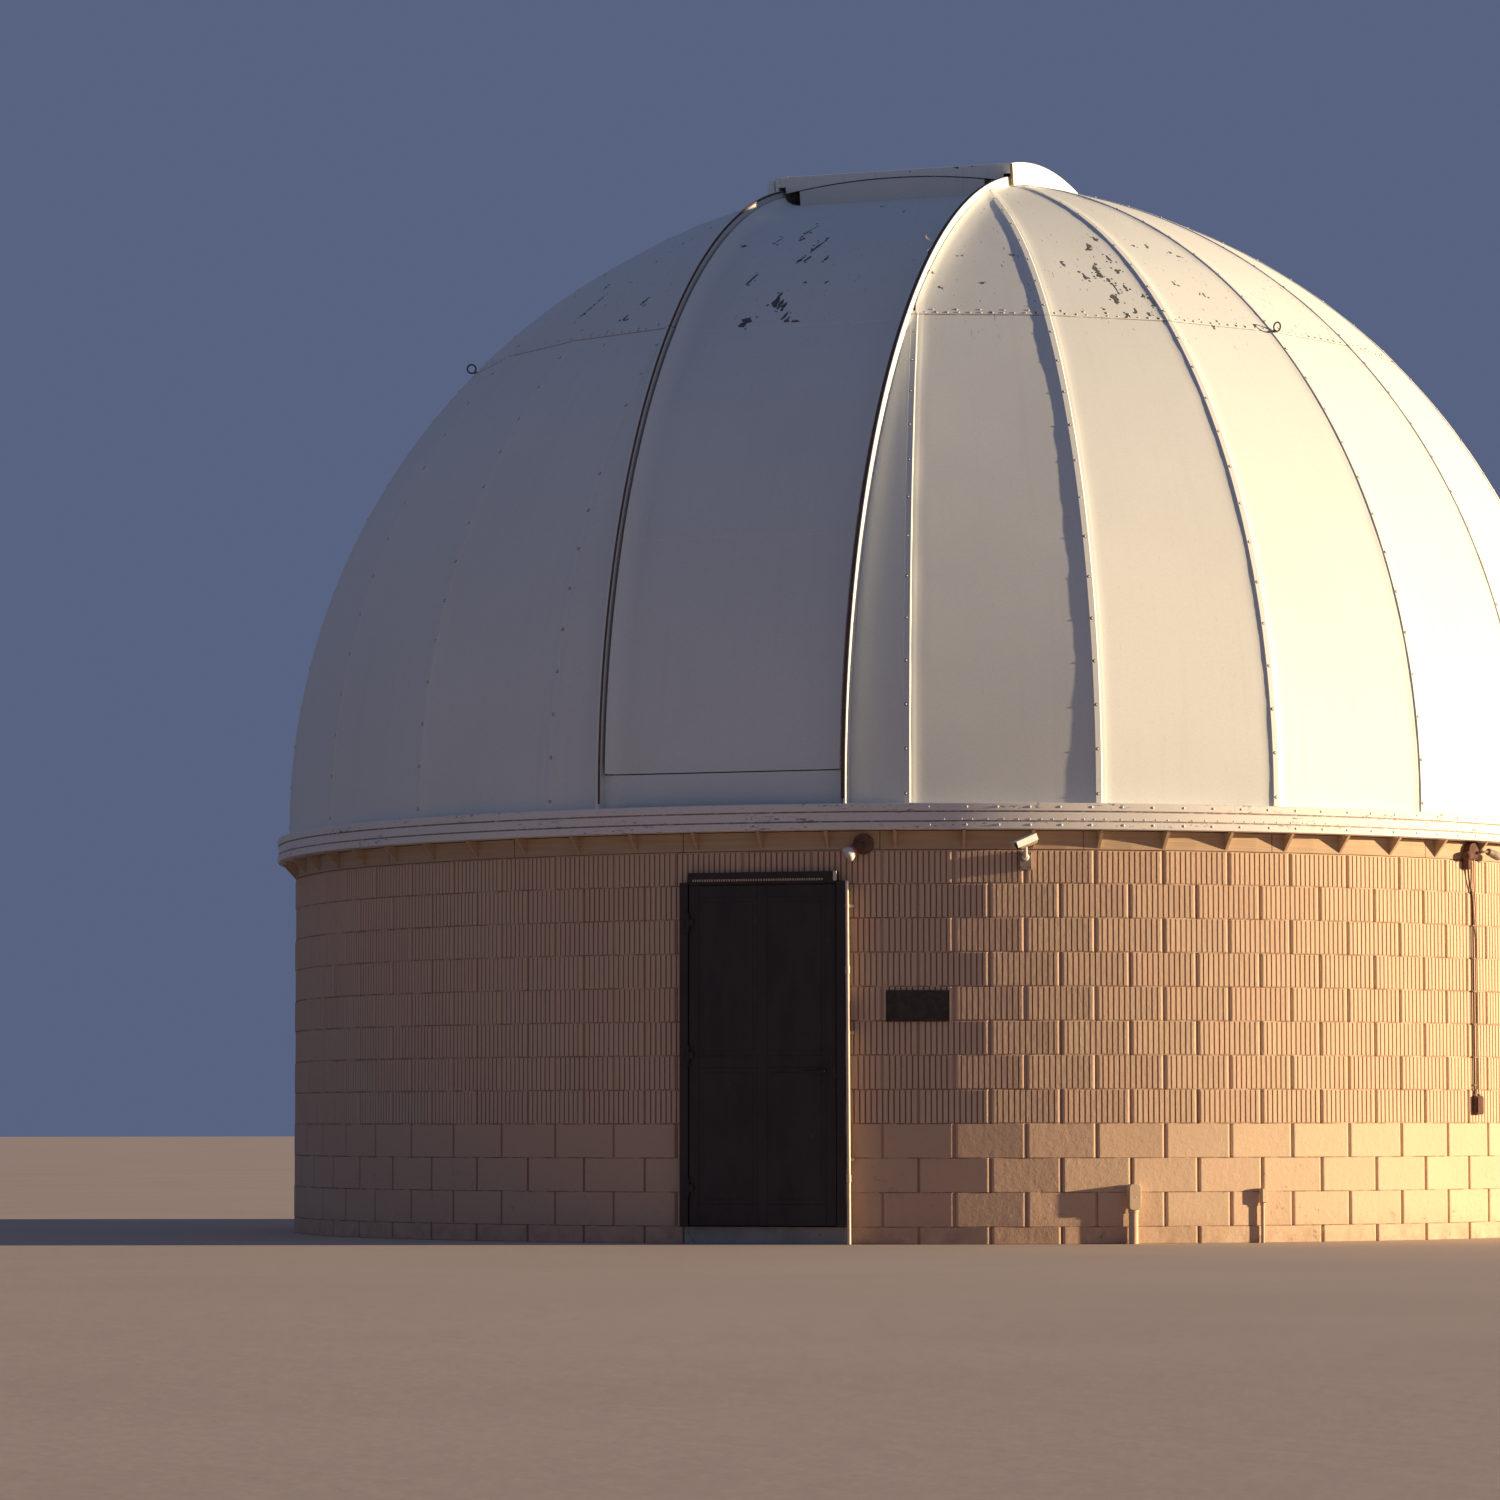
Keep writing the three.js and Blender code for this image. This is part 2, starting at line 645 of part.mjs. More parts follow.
function addLowerShutter() {
  const pieces = [
    arcPlate(
      shutterInnerRadius, shutterOuterRadius, shutterTopAngle, shutterBottomAngle,
      -shutterHalfWidth, shutterHalfWidth,
    ),
    crossPlate(
      closureHalfWidth, () => shutterInnerRadius + 5, roundEdge(closureTopRadius),
      shutterTopAngle, plateThickness,
    ),
  ];
  for (const angle of [20, 50, 85]) {
    for (const across0 of [-shutterHalfWidth, shutterHalfWidth - 34]) {
      const bottom = railTopRadius + seatGap;
      pieces.push(guideBlock(across0, across0 + 34, bottom, shutterInnerRadius + 10, angle));
    }
  }
  addNode(dome, 'lower_shutter', joined(pieces), 'whitePaint');
}

function addUpperShutter() {
  const roof = arcPlate(
    hoodInnerRadius, hoodOuterRadius, hoodRearAngle, hoodFrontAngle, -hoodHalfWidth, hoodHalfWidth,
  );
  const pieces = [roof];
  for (const side of [-1, 1]) {
    const across = [side * skirtInnerAcross, side * hoodHalfWidth].sort((a, b) => a - b);
    pieces.push(arcPlate(skirtBottomRadius, hoodInnerRadius + 5, hoodRearAngle, hoodFrontAngle, ...across));
    const guideAcross = [side * (curbInnerAcross + 1), side * (curbOuterAcross - 1)].sort((a, b) => a - b);
    for (const angle of [-20, 10]) {
      pieces.push(guideBlock(...guideAcross, curbTopRadius + seatGap, hoodInnerRadius + 10, angle));
    }
  }
  const ledge = hoodInnerRadius + 5;
  const thin = (plateThickness / hoodOuterRadius) / degree;
  for (const angle of [hoodFrontAngle - thin, hoodRearAngle]) {
    const arch = roundEdge(hoodPlateEdgeRadius);
    pieces.push(crossPlate(hoodPlateHalfWidth, arch, () => ledge, angle, plateThickness));
    for (const across of [-skirtInnerAcross - 5, hoodPlateHalfWidth - 5]) {
      const width = skirtInnerAcross - hoodPlateHalfWidth + 10;
      const filler = box(across, across + width, -plateThickness, 0, endPlateSideRadius, ledge);
      pieces.push(filler.rotate([angle, 0, 0]));
    }
  }
  const channel = (radii, setback, outer, inner) => arcPlate(
    ...radii, hoodRearAngle, hoodFrontAngle - setback, -outer, -inner,
  );
  pieces.push(channel(sideChannelRadii, sideChannelSetback, sideChannelAcross, sideChannelInnerAcross));
  const webInner = hoodHalfWidth - 2;
  pieces.push(channel(sideChannelWebRadii, sideChannelWebSetback, sideChannelInnerAcross + 2, webInner));
  addNode(dome, 'upper_shutter', joined(pieces), 'whitePaint');
}

addWalls();
addSlab();
addEaveBand();
addDoor();
addDoorConduit();
addPlaque();
addCamera();
addLeftLamp();
addLampPair();
addOutlet();
elbows.forEach(addElbow);
addBaseRing();
addSkin();
addSlitFrame();
addLowerShutter();
addUpperShutter();

export default part;
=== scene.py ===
"""Looks of a round observatory: painted block wall, door, fixtures, and a ribbed dome with a shuttered slit.

Metres, +Z up. The origin is on the dome's axis, at the foot of the wall. An azimuth is in degrees, counted
from -Y towards +X. The dome has a frame of its own: its centre is the origin there, and its slit faces -Y.
"""
from __future__ import annotations

import logging
import math
import random
from collections.abc import Callable, Iterable, Mapping, Sequence
from dataclasses import dataclass
from enum import Enum
from typing import Any

import bmesh
import bpy
from mathutils import Matrix, Vector, noise


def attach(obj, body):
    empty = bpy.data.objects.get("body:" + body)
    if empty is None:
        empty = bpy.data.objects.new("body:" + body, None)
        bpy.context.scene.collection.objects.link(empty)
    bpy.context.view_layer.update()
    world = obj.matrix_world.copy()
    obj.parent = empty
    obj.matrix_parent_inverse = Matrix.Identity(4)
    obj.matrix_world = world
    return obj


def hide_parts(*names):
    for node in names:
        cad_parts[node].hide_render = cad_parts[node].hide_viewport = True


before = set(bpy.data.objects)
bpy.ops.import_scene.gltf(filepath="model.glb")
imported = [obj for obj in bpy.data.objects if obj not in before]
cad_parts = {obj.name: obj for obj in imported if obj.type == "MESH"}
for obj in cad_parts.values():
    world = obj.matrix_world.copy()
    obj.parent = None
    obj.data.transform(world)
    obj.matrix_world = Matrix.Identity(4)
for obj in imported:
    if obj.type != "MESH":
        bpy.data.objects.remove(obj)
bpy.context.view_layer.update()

LOG = logging.getLogger("observatory")
FINISHES: dict[str, bpy.types.Material] = {}
Pair = tuple[float, float]
Triple = tuple[float, float, float]
Profile = tuple[Pair, ...]
Box = tuple[Triple, Triple]
Route = tuple[Triple, ...]

DOME_CENTRE = Vector((0.0, 0.0, 2.67))
SLIT_TURN = math.radians(-17.44)
DOME_PLACE = Matrix.Translation(DOME_CENTRE) @ Matrix.Rotation(SLIT_TURN, 4, "Z")
SKIN_CREASE = 32.0
RING_TOP = 2.6063
RING_GROOVES = (2.497, 2.555)
LAP_HEIGHT = 5.7188
SEAM_ELEVATION = 44.15
COURSE = 0.2032
BLOCKS_AROUND = 64
BLOCK_ANGLE = 360.0 / BLOCKS_AROUND
FIRST_JOINT = -4.49
DOOR_AZIMUTH = -14.0


class Body(Enum):
    """Bodies of the model that pieces ride on."""

    BUILDING = "building"
    DOME = "dome"
    UPPER_SHUTTER = "upper_shutter"
    LOWER_SHUTTER = "lower_shutter"
    DOOR = "door"


class Slot(Enum):
    """Material slots of the record."""

    BLOCK = "block"
    DARK_STEEL = "dark_steel"
    GALVANISED = "galvanised"
    TAN_PAINT = "tan_paint"
    PLAQUE = "plaque"
    HOUSING = "housing"
    DOME_SKIN = "dome_skin"
    RING = "ring"
    SHUTTER = "shutter"


class Side(Enum):
    """Left or right of the slit, as the sign of its across direction."""

    LEFT = -1
    RIGHT = 1


def polar(radius: float, azimuth: float, height: float) -> Vector:
    """Point at a radius and an azimuth in degrees."""
    turn = math.radians(azimuth)
    return Vector((radius * math.sin(turn), -radius * math.cos(turn), height))


def slit_point(across: float, radius: float, angle: float) -> Vector:
    """Point in the dome's frame at an angle in degrees from the zenith, positive towards the front."""
    turn = math.radians(angle)
    return Vector((across, -radius * math.sin(turn), radius * math.cos(turn)))


def steps(low: float, high: float, count: int) -> list[float]:
    """Evenly spaced values from low to high, with count spaces between them."""
    return [low + (high - low) * i / count for i in range(count + 1)]


def circle(count: int) -> list[float]:
    """Evenly spaced angles in radians, once round."""
    return [2 * math.pi * i / count for i in range(count)]


def soft_step(value: float, low: float, high: float) -> float:
    """Smooth rise from 0 at low to 1 at high."""
    share = min(1.0, max(0.0, (value - low) / (high - low)))
    return share * share * (3.0 - 2.0 * share)


def facing(point: Vector, normal: Vector) -> Matrix:
    """Placement at a point with its Z axis along a normal."""
    return Matrix.Translation(point) @ normal.to_track_quat("Z", "Y").to_matrix().to_4x4()


def foot_elevation(radius: float) -> float:
    """Elevation in degrees at which a sheet of a radius meets the base ring."""
    return math.degrees(math.asin((RING_TOP + 0.0005 - DOME_CENTRE.z) / radius))


def tilted(angle: float) -> Matrix:
    """Placement in the dome's frame whose Z axis points outward at an angle in degrees from the zenith."""
    return Matrix.Rotation(math.radians(angle), 4, "X")


class Shape:
    """Closed solids of one piece, gathered while it is made."""

    def __init__(self) -> None:
        """Starts with nothing."""
        self.points: list[Vector] = []
        self.faces: list[tuple[int, ...]] = []
        self.finishes: list[int] = []
        self.hard: list[tuple[int, int]] = []

    def loft(
        self,
        sections: Sequence[Sequence[Vector]],
        finish: int = 0,
        closed: bool = False,
        hard_rows: Iterable[int] = (),
        strip_caps: bool = False,
    ) -> None:
        """Joins outlines of equal length into a solid.

        Args:
            sections: The outlines, each a closed loop of points.
            finish: Index of the finish of the new faces.
            closed: Whether the last outline joins the first, and the solid has no caps.
            hard_rows: Outlines whose own edges stay sharp.
            strip_caps: Whether the caps are strips between the two halves of the outline.
        """
        base = len(self.points)
        size = len(sections[0])
        for section in sections:
            self.points.extend(section)
        for row in range(len(sections) if closed else len(sections) - 1):
            low = base + row * size
            high = base + ((row + 1) % len(sections)) * size
            for i in range(size):
                j = (i + 1) % size
                self._face((low + i, low + j, high + j, high + i), finish)
        if not closed:
            for start in (base, base + (len(sections) - 1) * size):
                if strip_caps:
                    for i in range(size // 2 - 1):
                        corners = (i, i + 1, size - 2 - i, size - 1 - i)
                        self._face(tuple(start + corner for corner in corners), finish)
                else:
                    self._face(tuple(range(start, start + size)), finish)
        for row in hard_rows:
            start = base + row * size
            self.hard.extend((start + i, start + (i + 1) % size) for i in range(size))

    def _face(self, corners: tuple[int, ...], finish: int) -> None:
        """Adds one face."""
        self.faces.append(corners)
        self.finishes.append(finish)

    def spin(self, profile: Iterable[Pair], place: Matrix, sides: int, finish: int = 0) -> None:
        """Turns a profile, pairs of radius and height, round the placement's Z axis."""
        ring = [(math.cos(turn), math.sin(turn)) for turn in circle(sides)]
        self.loft([[place @ Vector((r * x, r * y, h)) for x, y in ring] for r, h in profile], finish)

    def stud(
        self, spot: Vector, normal: Vector, radius: float, height: float, sides: int, finish: int = 0
    ) -> None:
        """A rivet or bolt head with a domed top, sunk a little into what carries it."""
        profile = ((1.0, -0.5), (1.0, 0.25), (0.8, 0.72), (0.35, 1.0))
        self.spin([(radius * r, height * h) for r, h in profile], facing(spot, normal), sides, finish)

    def tube(self, path: Sequence[Vector], radius: float, sides: int, finish: int = 0) -> None:
        """A round bar along a path.

        Args:
            path: Points of its centre line.
            radius: Radius of the bar.
            sides: Number of facets round it.
            finish: Index of the finish.
        """
        whole = path[-1] - path[0]
        upright = Vector((0, 0, 1)) if abs(whole.normalized().z) < 0.8 else Vector((1, 0, 0))
        rings = []
        for i, point in enumerate(path):
            ahead = path[min(i + 1, len(path) - 1)] - path[max(i - 1, 0)]
            side = ahead.cross(upright).normalized()
            other = side.cross(ahead).normalized()
            turns = circle(sides)
            rings.append([point + radius * (side * math.cos(t) + other * math.sin(t)) for t in turns])
        self.loft(rings, finish)

    def block(self, low: Triple, high: Triple, bevel: float, place: Matrix, finish: int = 0) -> None:
        """A box with bevelled edges.

        Args:
            low: Lowest corner in the placement's frame.
            high: Highest corner there.
            bevel: Width of the bevel.
            place: Placement of the box.
            finish: Index of the finish.
        """
        sections = []
        for height, inset in ((low[2], bevel), (low[2] + bevel, 0), (high[2] - bevel, 0), (high[2], bevel)):
            x0, y0 = low[0] + inset, low[1] + inset
            x1, y1 = high[0] - inset, high[1] - inset
            corners = (
                (x0 + bevel, y0), (x1 - bevel, y0), (x1, y0 + bevel), (x1, y1 - bevel),
                (x1 - bevel, y1), (x0 + bevel, y1), (x0, y1 - bevel), (x0, y0 + bevel),
            )
            sections.append([place @ Vector((x, y, height)) for x, y in corners])
        self.loft(sections, finish)

    def bend(self, outline: Sequence[Pair], angles: Iterable[float], finish: int = 0) -> None:
        """Sweeps an outline, pairs of across and radius, round the slit's arc, in the dome's frame."""
        self.loft([[slit_point(x, r, angle) for x, r in outline] for angle in angles], finish)

    def flake(self, outline: Iterable[Pair], top: float, spot: Callable[..., Vector]) -> None:
        """A thin flake of the third finish; spot gives its points for across, along and height."""
        self.loft([[spot(across, along, lift) for across, along in outline] for lift in (-0.003, top)], 2)

    def piece(
        self,
        name: str,
        body: Body,
        slot: Slot,
        finishes: Sequence[str],
        replaced: Sequence[str] = (),
        place: Matrix | None = None,
        crease: float = 35.0,
    ) -> None:
        """Makes the Blender object.

        Args:
            name: Name of the piece.
            body: Body that it rides on.
            slot: Material slot of the record; not used.
            finishes: Names of the finishes, in the order of their indices.
            replaced: CAD nodes that it stands for.
            place: Placement of the points, or none for the part's own frame.
            crease: Angle in degrees above which an edge stays sharp.
        """
        work = bmesh.new()
        corners = [work.verts.new(place @ point if place else point) for point in self.points]
        for face, finish in zip(self.faces, self.finishes):
            made = work.faces.new([corners[i] for i in face])
            made.material_index = finish
            made.smooth = True
        bmesh.ops.recalc_face_normals(work, faces=work.faces)
        limit = math.radians(crease)
        for edge in work.edges:
            edge.smooth = edge.calc_face_angle(0.0) < limit
        for a, b in self.hard:
            edge = work.edges.get((corners[a], corners[b]))
            if edge:
                edge.smooth = False
        mesh = bpy.data.meshes.new(name)
        work.to_mesh(mesh)
        work.free()
        for finish in finishes:
            mesh.materials.append(FINISHES[finish])
        made_object = bpy.data.objects.new(name, mesh)
        bpy.context.scene.collection.objects.link(made_object)
        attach(made_object, body.value)
        if replaced:
            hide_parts(*replaced)
        LOG.info("%s: %d faces on %s", name, len(mesh.polygons), body.value)

    def dome_piece(
        self, name: str, body: Body, slot: Slot, finishes: Sequence[str], replaced: Sequence[str]
    ) -> None:
        """Makes the Blender object from points in the dome's frame."""
        self.piece(name, body, slot, finishes, replaced, DOME_PLACE, SKIN_CREASE)


def dress(node: str, finish: str) -> None:
    """Gives a CAD node its finish.

    Args:
        node: Name of the node.
        finish: Name of the finish.
    """
    material = FINISHES[finish]
    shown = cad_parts[node]
    if not shown.material_slots:
        shown.data.materials.append(material)
    for material_slot in shown.material_slots:
        material_slot.material = material
    LOG.info("%s: dressed with %s", node, finish)


def operator(operation: str, reflected: bool = False) -> Callable[[Link, Any], Link]:
    """Makes the method of one arithmetic operator.

    Args:
        operation: Name of the operation of a Math or Vector Math node.
        reflected: Whether the link stands on the operator's right.

    Returns:
        The method.
    """
    def method(link: Link, other: Any) -> Link:
        """Joins the link with another value through a node.

        Args:
            link: The link itself.
            other: A number, a vector or another link.

        Returns:
            The node's output.
        """
        first, second = (other, link) if reflected else (link, other)
        vector = any(isinstance(value, Link) and value.socket.type == "VECTOR" for value in (first, second))
        kind = "ShaderNodeVectorMath" if vector else "ShaderNodeMath"
        return link.shader.node(kind, {"operation": operation}, {0: first, 1: second})

    return method


class Link:
    """A shader socket that takes part in Python arithmetic.

    Numbers go through Math nodes and vectors through Vector Math nodes.
    """

    def __init__(self, shader: Shader, socket: bpy.types.NodeSocket) -> None:
        """Wraps one output socket of a shader."""
        self.shader = shader
        self.socket = socket

    __add__ = operator("ADD")
    __radd__ = operator("ADD", True)
    __sub__ = operator("SUBTRACT")
    __rsub__ = operator("SUBTRACT", True)
    __mul__ = operator("MULTIPLY")
    __rmul__ = operator("MULTIPLY", True)
    __truediv__ = operator("DIVIDE")

    def _math(self, operation: str) -> Link:
        """Adds the Math node of an operation on this value alone."""
        return self.shader.node("ShaderNodeMath", {"operation": operation}, {0: self})

    def floor(self) -> Link:
        """Whole part."""
        return self._math("FLOOR")

    def fraction(self) -> Link:
        """Part after the decimal point."""
        return self._math("FRACT")

    def cosine(self) -> Link:
        """Cosine of an angle in radians."""
        return self._math("COSINE")

    def root(self) -> Link:
        """Square root."""
        return self._math("SQRT")

    def size(self) -> Link:
        """Value without its sign."""
        return (self * self).root()

    def remainder(self, other: float) -> Link:
        """Remainder, never negative."""
        return self.shader.node("ShaderNodeMath", {"operation": "FLOORED_MODULO"}, {0: self, 1: other})

    def rise(self, low: float, high: float) -> Link:
        """Smooth rise from 0 to 1.

        Args:
            low: Where it is 0.
            high: Where it is 1, which may be the lesser of the two.

        Returns:
            The rise at this value.
        """
        if low > high:
            return 1.0 - self.rise(high, low)
        inputs = {"Value": self, "From Min": low, "From Max": high}
        return self.shader.node("ShaderNodeMapRange", {"interpolation_type": "SMOOTHSTEP"}, inputs)


class Shader:
    """Nodes of one procedural material."""

    def __init__(self, name: str) -> None:
        """Starts a material with a Principled surface.

        Args:
            name: Name of the material.
        """
        self.material = bpy.data.materials.new(name)
        self.material.use_nodes = True
        self.tree = self.material.node_tree
        self.tree.nodes.clear()
        self.surface = self.tree.nodes.new("ShaderNodeBsdfPrincipled")
        end = self.tree.nodes.new("ShaderNodeOutputMaterial")
        self.tree.links.new(self.surface.outputs["BSDF"], end.inputs["Surface"])

    def node(
        self,
        kind: str,
        settings: Mapping[str, Any] | None = None,
        inputs: Mapping[str | int, Any] | None = None,
        output: str | int = 0,
    ) -> Link:
        """Adds one node.

        Args:
            kind: Type of the node.
            settings: Its settings, which are set first.
            inputs: Values or links of its sockets.
            output: The output that is wanted.

        Returns:
            The link of that output.
        """
        made = self.tree.nodes.new(kind)
        for key, value in (settings or {}).items():
            setattr(made, key, value)
        for key, value in (inputs or {}).items():
            self._feed(made.inputs[key], value)
        return Link(self, made.outputs[output])

    def _feed(self, socket: bpy.types.NodeSocket, value: Any) -> None:
        """Links or sets one input socket.

        Args:
            socket: The socket.
            value: A link, number, colour or vector.
        """
        if isinstance(value, Link):
            self.tree.links.new(value.socket, socket)
        elif socket.type == "VECTOR" and isinstance(value, (int, float)):
            socket.default_value = (value, value, value)
        elif socket.type == "RGBA" and len(value) == 3:
            socket.default_value = (*value, 1.0)
        else:
            socket.default_value = value

    def place(self) -> Link:
        """Position on the object, which is the position on the part at rest."""
        return self.node("ShaderNodeTexCoord", output="Object")

    def parts(self, vector: Link) -> tuple[Link, Link, Link]:
        """The three parts of a vector."""
        outputs = self.node("ShaderNodeSeparateXYZ", inputs={0: vector}).socket.node.outputs
        return tuple(Link(self, output) for output in outputs)

    def vector(self, x: Any, y: Any, z: Any) -> Link:
        """A vector from three numbers or links."""
        return self.node("ShaderNodeCombineXYZ", inputs={0: x, 1: y, 2: z})

    def noise(self, vector: Link, scale: float, detail: float = 2.0, roughness: float = 0.5) -> Link:
        """Cloudy noise between 0 and 1."""
        inputs = {"Vector": vector, "Scale": scale, "Detail": detail, "Roughness": roughness}
        return self.node("ShaderNodeTexNoise", inputs=inputs)

    def chance(self, x: Link, y: Link) -> Link:
        """A fixed random number for each pair of whole numbers."""
        inputs = {"Vector": self.vector(x, y, 0.0)}
        return self.node("ShaderNodeTexWhiteNoise", {"noise_dimensions": "2D"}, inputs, "Value")

    def angle(self, y: Link, x: Link) -> Link:
        """Angle of a direction in radians."""
        return self.node("ShaderNodeMath", {"operation": "ARCTAN2"}, {0: y, 1: x})

    def mix(self, factor: Any, first: Any, second: Any) -> Link:
        """A colour between two colours."""
        return self.node("ShaderNodeMix", {"data_type": "RGBA"}, {0: factor, 6: first, 7: second}, 2)

    def layers(self, base: Any, *coats: tuple[Any, Any]) -> Any:
        """Lays colours over a first one.

        Args:
            base: The first colour.
            coats: Pairs of a mask and a colour, in the order in which they are laid.

        Returns:
            The colour that shows.
        """
        for mask, colour in coats:
            base = self.mix(mask, base, colour)
        return base

    def bump(self, height: Link, distance: float) -> Link:
        """A normal from a height."""
        return self.node("ShaderNodeBump", inputs={"Strength": 1.0, "Distance": distance, "Height": height})

    def end(self, **sockets: Any) -> bpy.types.Material:
        """Feeds the surface.

        Args:
            sockets: Values or links by the sockets' names, with an underscore between words.

        Returns:
            The material.
        """
        for key, value in sockets.items():
            self._feed(self.surface.inputs[key.replace("_", " ").title()], value)
        return self.material


def shade(colour: Triple, factor: float) -> Triple:
    """A colour made darker or lighter."""
    return tuple(min(1.0, part * factor) for part in colour)


@dataclass(frozen=True)
class BlockPaint:
    """Masonry paint: a tone for each block, painted shade on the shaded side, dirt and painted shade in the
    grooves, and worn spots near the ground.
    """

    name: str = "block_paint"
    rosy: Triple = (0.665, 0.462, 0.320)
    sandy: Triple = (0.690, 0.545, 0.360)
    patch: Triple = (0.60, 0.43, 0.30)
    ridge: Triple = (0.70, 0.46, 0.335)
    painted_shade: Triple = (0.60, 0.385, 0.26)
    dirt_and_shade: Triple = (0.28, 0.145, 0.090)
    bare: Triple = (0.36, 0.25, 0.19)
    drip: Triple = (0.80, 0.68, 0.53)
    lowest_ridge: float = 0.711
    face: float = 4.3205
    groove_ends: Pair = (0.001, 0.006)
    joint_ends: Pair = (0.0075, 0.013)
    ridges_across: float = 12.6

    def build(self) -> bpy.types.Material:
        """Makes the finish.

        Returns:
            The material.
        """
        shader = Shader(self.name)
        place = shader.place()
        x, y, z = shader.parts(place)
        radius = (x * x + y * y).root()
        azimuth = shader.angle(x, -1.0 * y) * math.degrees(1.0)
        level = (z - COURSE / 2) / COURSE
        row = level.floor() + 1.0
        column = (azimuth - FIRST_JOINT) / BLOCK_ANGLE - (1.0 - row.remainder(2.0)) * 0.5
        cell = column.floor()
        from_middle = column.fraction() - 0.5
        turn = from_middle * math.radians(BLOCK_ANGLE)
        depth = radius * turn.cosine()
        tone = shader.chance(cell, row)
        cloud = shader.noise(place, 1.7, 4.0, 0.6)
        patchy = shader.noise(place, 9.0, 5.0, 0.65)
        ridge = (column.fraction() * self.ridges_across).floor()
        fluted = z.rise(self.lowest_ridge, self.lowest_ridge + 0.002)
        # Masks of the fluted grooves, the block ends behind the face and the bed joints, which are darkened
        # with dirt and painted shade in these recesses.
        top, floor = (self.face - deep for deep in self.groove_ends)
        groove = depth.rise(top, floor) * fluted * from_middle.size().rise(0.448, 0.438)
        top, floor = (self.face - deep for deep in self.joint_ends)
        joint = depth.rise(top, floor)
        bed = (level.fraction() - 0.5).size().rise(0.479, 0.486) * patchy.rise(0.62, 0.42)
        flaw = shader.noise(place, 14.0, 6.0, 0.7)
        worn = flaw.rise(0.60, 0.66) * z.rise(0.75, 0.2) * cloud.rise(0.42, 0.6)
        splash = z.rise(0.22, 0.0) * patchy.rise(0.3, 0.7)
        smear = shader.noise(place * shader.vector(1.0, 1.0, 0.35), 30.0, 5.0, 0.7)
        drips = smear.rise(0.665, 0.69) * cloud.rise(0.52, 0.6)
        pores = shader.noise(place, 160.0, 3.0, 0.6)
        grain = shader.noise(place, 26.0, 5.0, 0.65)
        # The base tone is random for each block, and leans rosier on the shaded side and sandier on the
        # sunlit side: partly painted shade and light.
        paint = shader.layers(
            shader.mix(tone * 0.45 + azimuth.rise(0.0, 45.0) * 0.55, self.rosy, self.sandy),
            (cloud.rise(0.35, 0.75) * 0.25, shade(self.rosy, 0.84)),
            (patchy.rise(0.5, 0.8) * 0.2, self.patch),
            (shader.chance(cell * 13.0 + ridge, row) * fluted * 0.45, self.ridge),
            # Plain courses on the shaded side get a darker tone of painted shade.
            ((1.0 - fluted) * azimuth.rise(35.0, 0.0) * 0.6, self.painted_shade),
            (groove * 0.88, self.dirt_and_shade),
            (joint * 0.35, self.dirt_and_shade),
            (bed * 0.75, self.dirt_and_shade),
            (worn * 0.7, self.bare),
            (splash * 0.4, self.dirt_and_shade),
            (drips * 0.55, self.drip),
            (pores.rise(0.42, 0.28) * 0.35, self.dirt_and_shade),
        )
        height = pores * 0.5 + grain * 1.5 - worn * 0.5 + drips * 0.4
        return shader.end(base_color=paint, roughness=0.9, normal=shader.bump(height, 0.0022))


@dataclass(frozen=True)
class Mortar:
    """Mortar and block core behind the faces, painted with them; inside, the joints show as faint lines."""

    name: str = "mortar"
    paint: Triple = (0.63, 0.46, 0.32)
    inside: Triple = (0.60, 0.55, 0.47)
    joint: Triple = (0.40, 0.35, 0.29)

    def build(self) -> bpy.types.Material:
        """Makes the finish.

        Returns:
            The material.
        """
        shader = Shader(self.name)
        place = shader.place()
        x, y, z = shader.parts(place)
        radius = (x * x + y * y).root()
        row = (z - COURSE / 2) / COURSE
        column = shader.angle(x, -1.0 * y) * (math.degrees(1.0) / BLOCK_ANGLE)
        shift = row.floor().remainder(2.0) * 0.5
        across = (column + shift).fraction()
        lines = 1.0 - row.fraction().rise(0.03, 0.06) * across.rise(0.015, 0.03)
        cloud = shader.noise(place, 3.0, 4.0, 0.6)
        outside = shader.mix(cloud, shade(self.paint, 0.85), shade(self.paint, 1.1))
        within = shader.mix(cloud, shade(self.inside, 0.9), self.inside)
        within = shader.mix(lines, within, self.joint)
        colour = shader.mix(radius.rise(4.20, 4.22), within, outside)
        grain = shader.noise(place, 120.0, 4.0, 0.6)
        height = grain - lines * 2.0 * radius.rise(4.22, 4.20)
        return shader.end(base_color=colour, roughness=0.93, normal=shader.bump(height, 0.002))


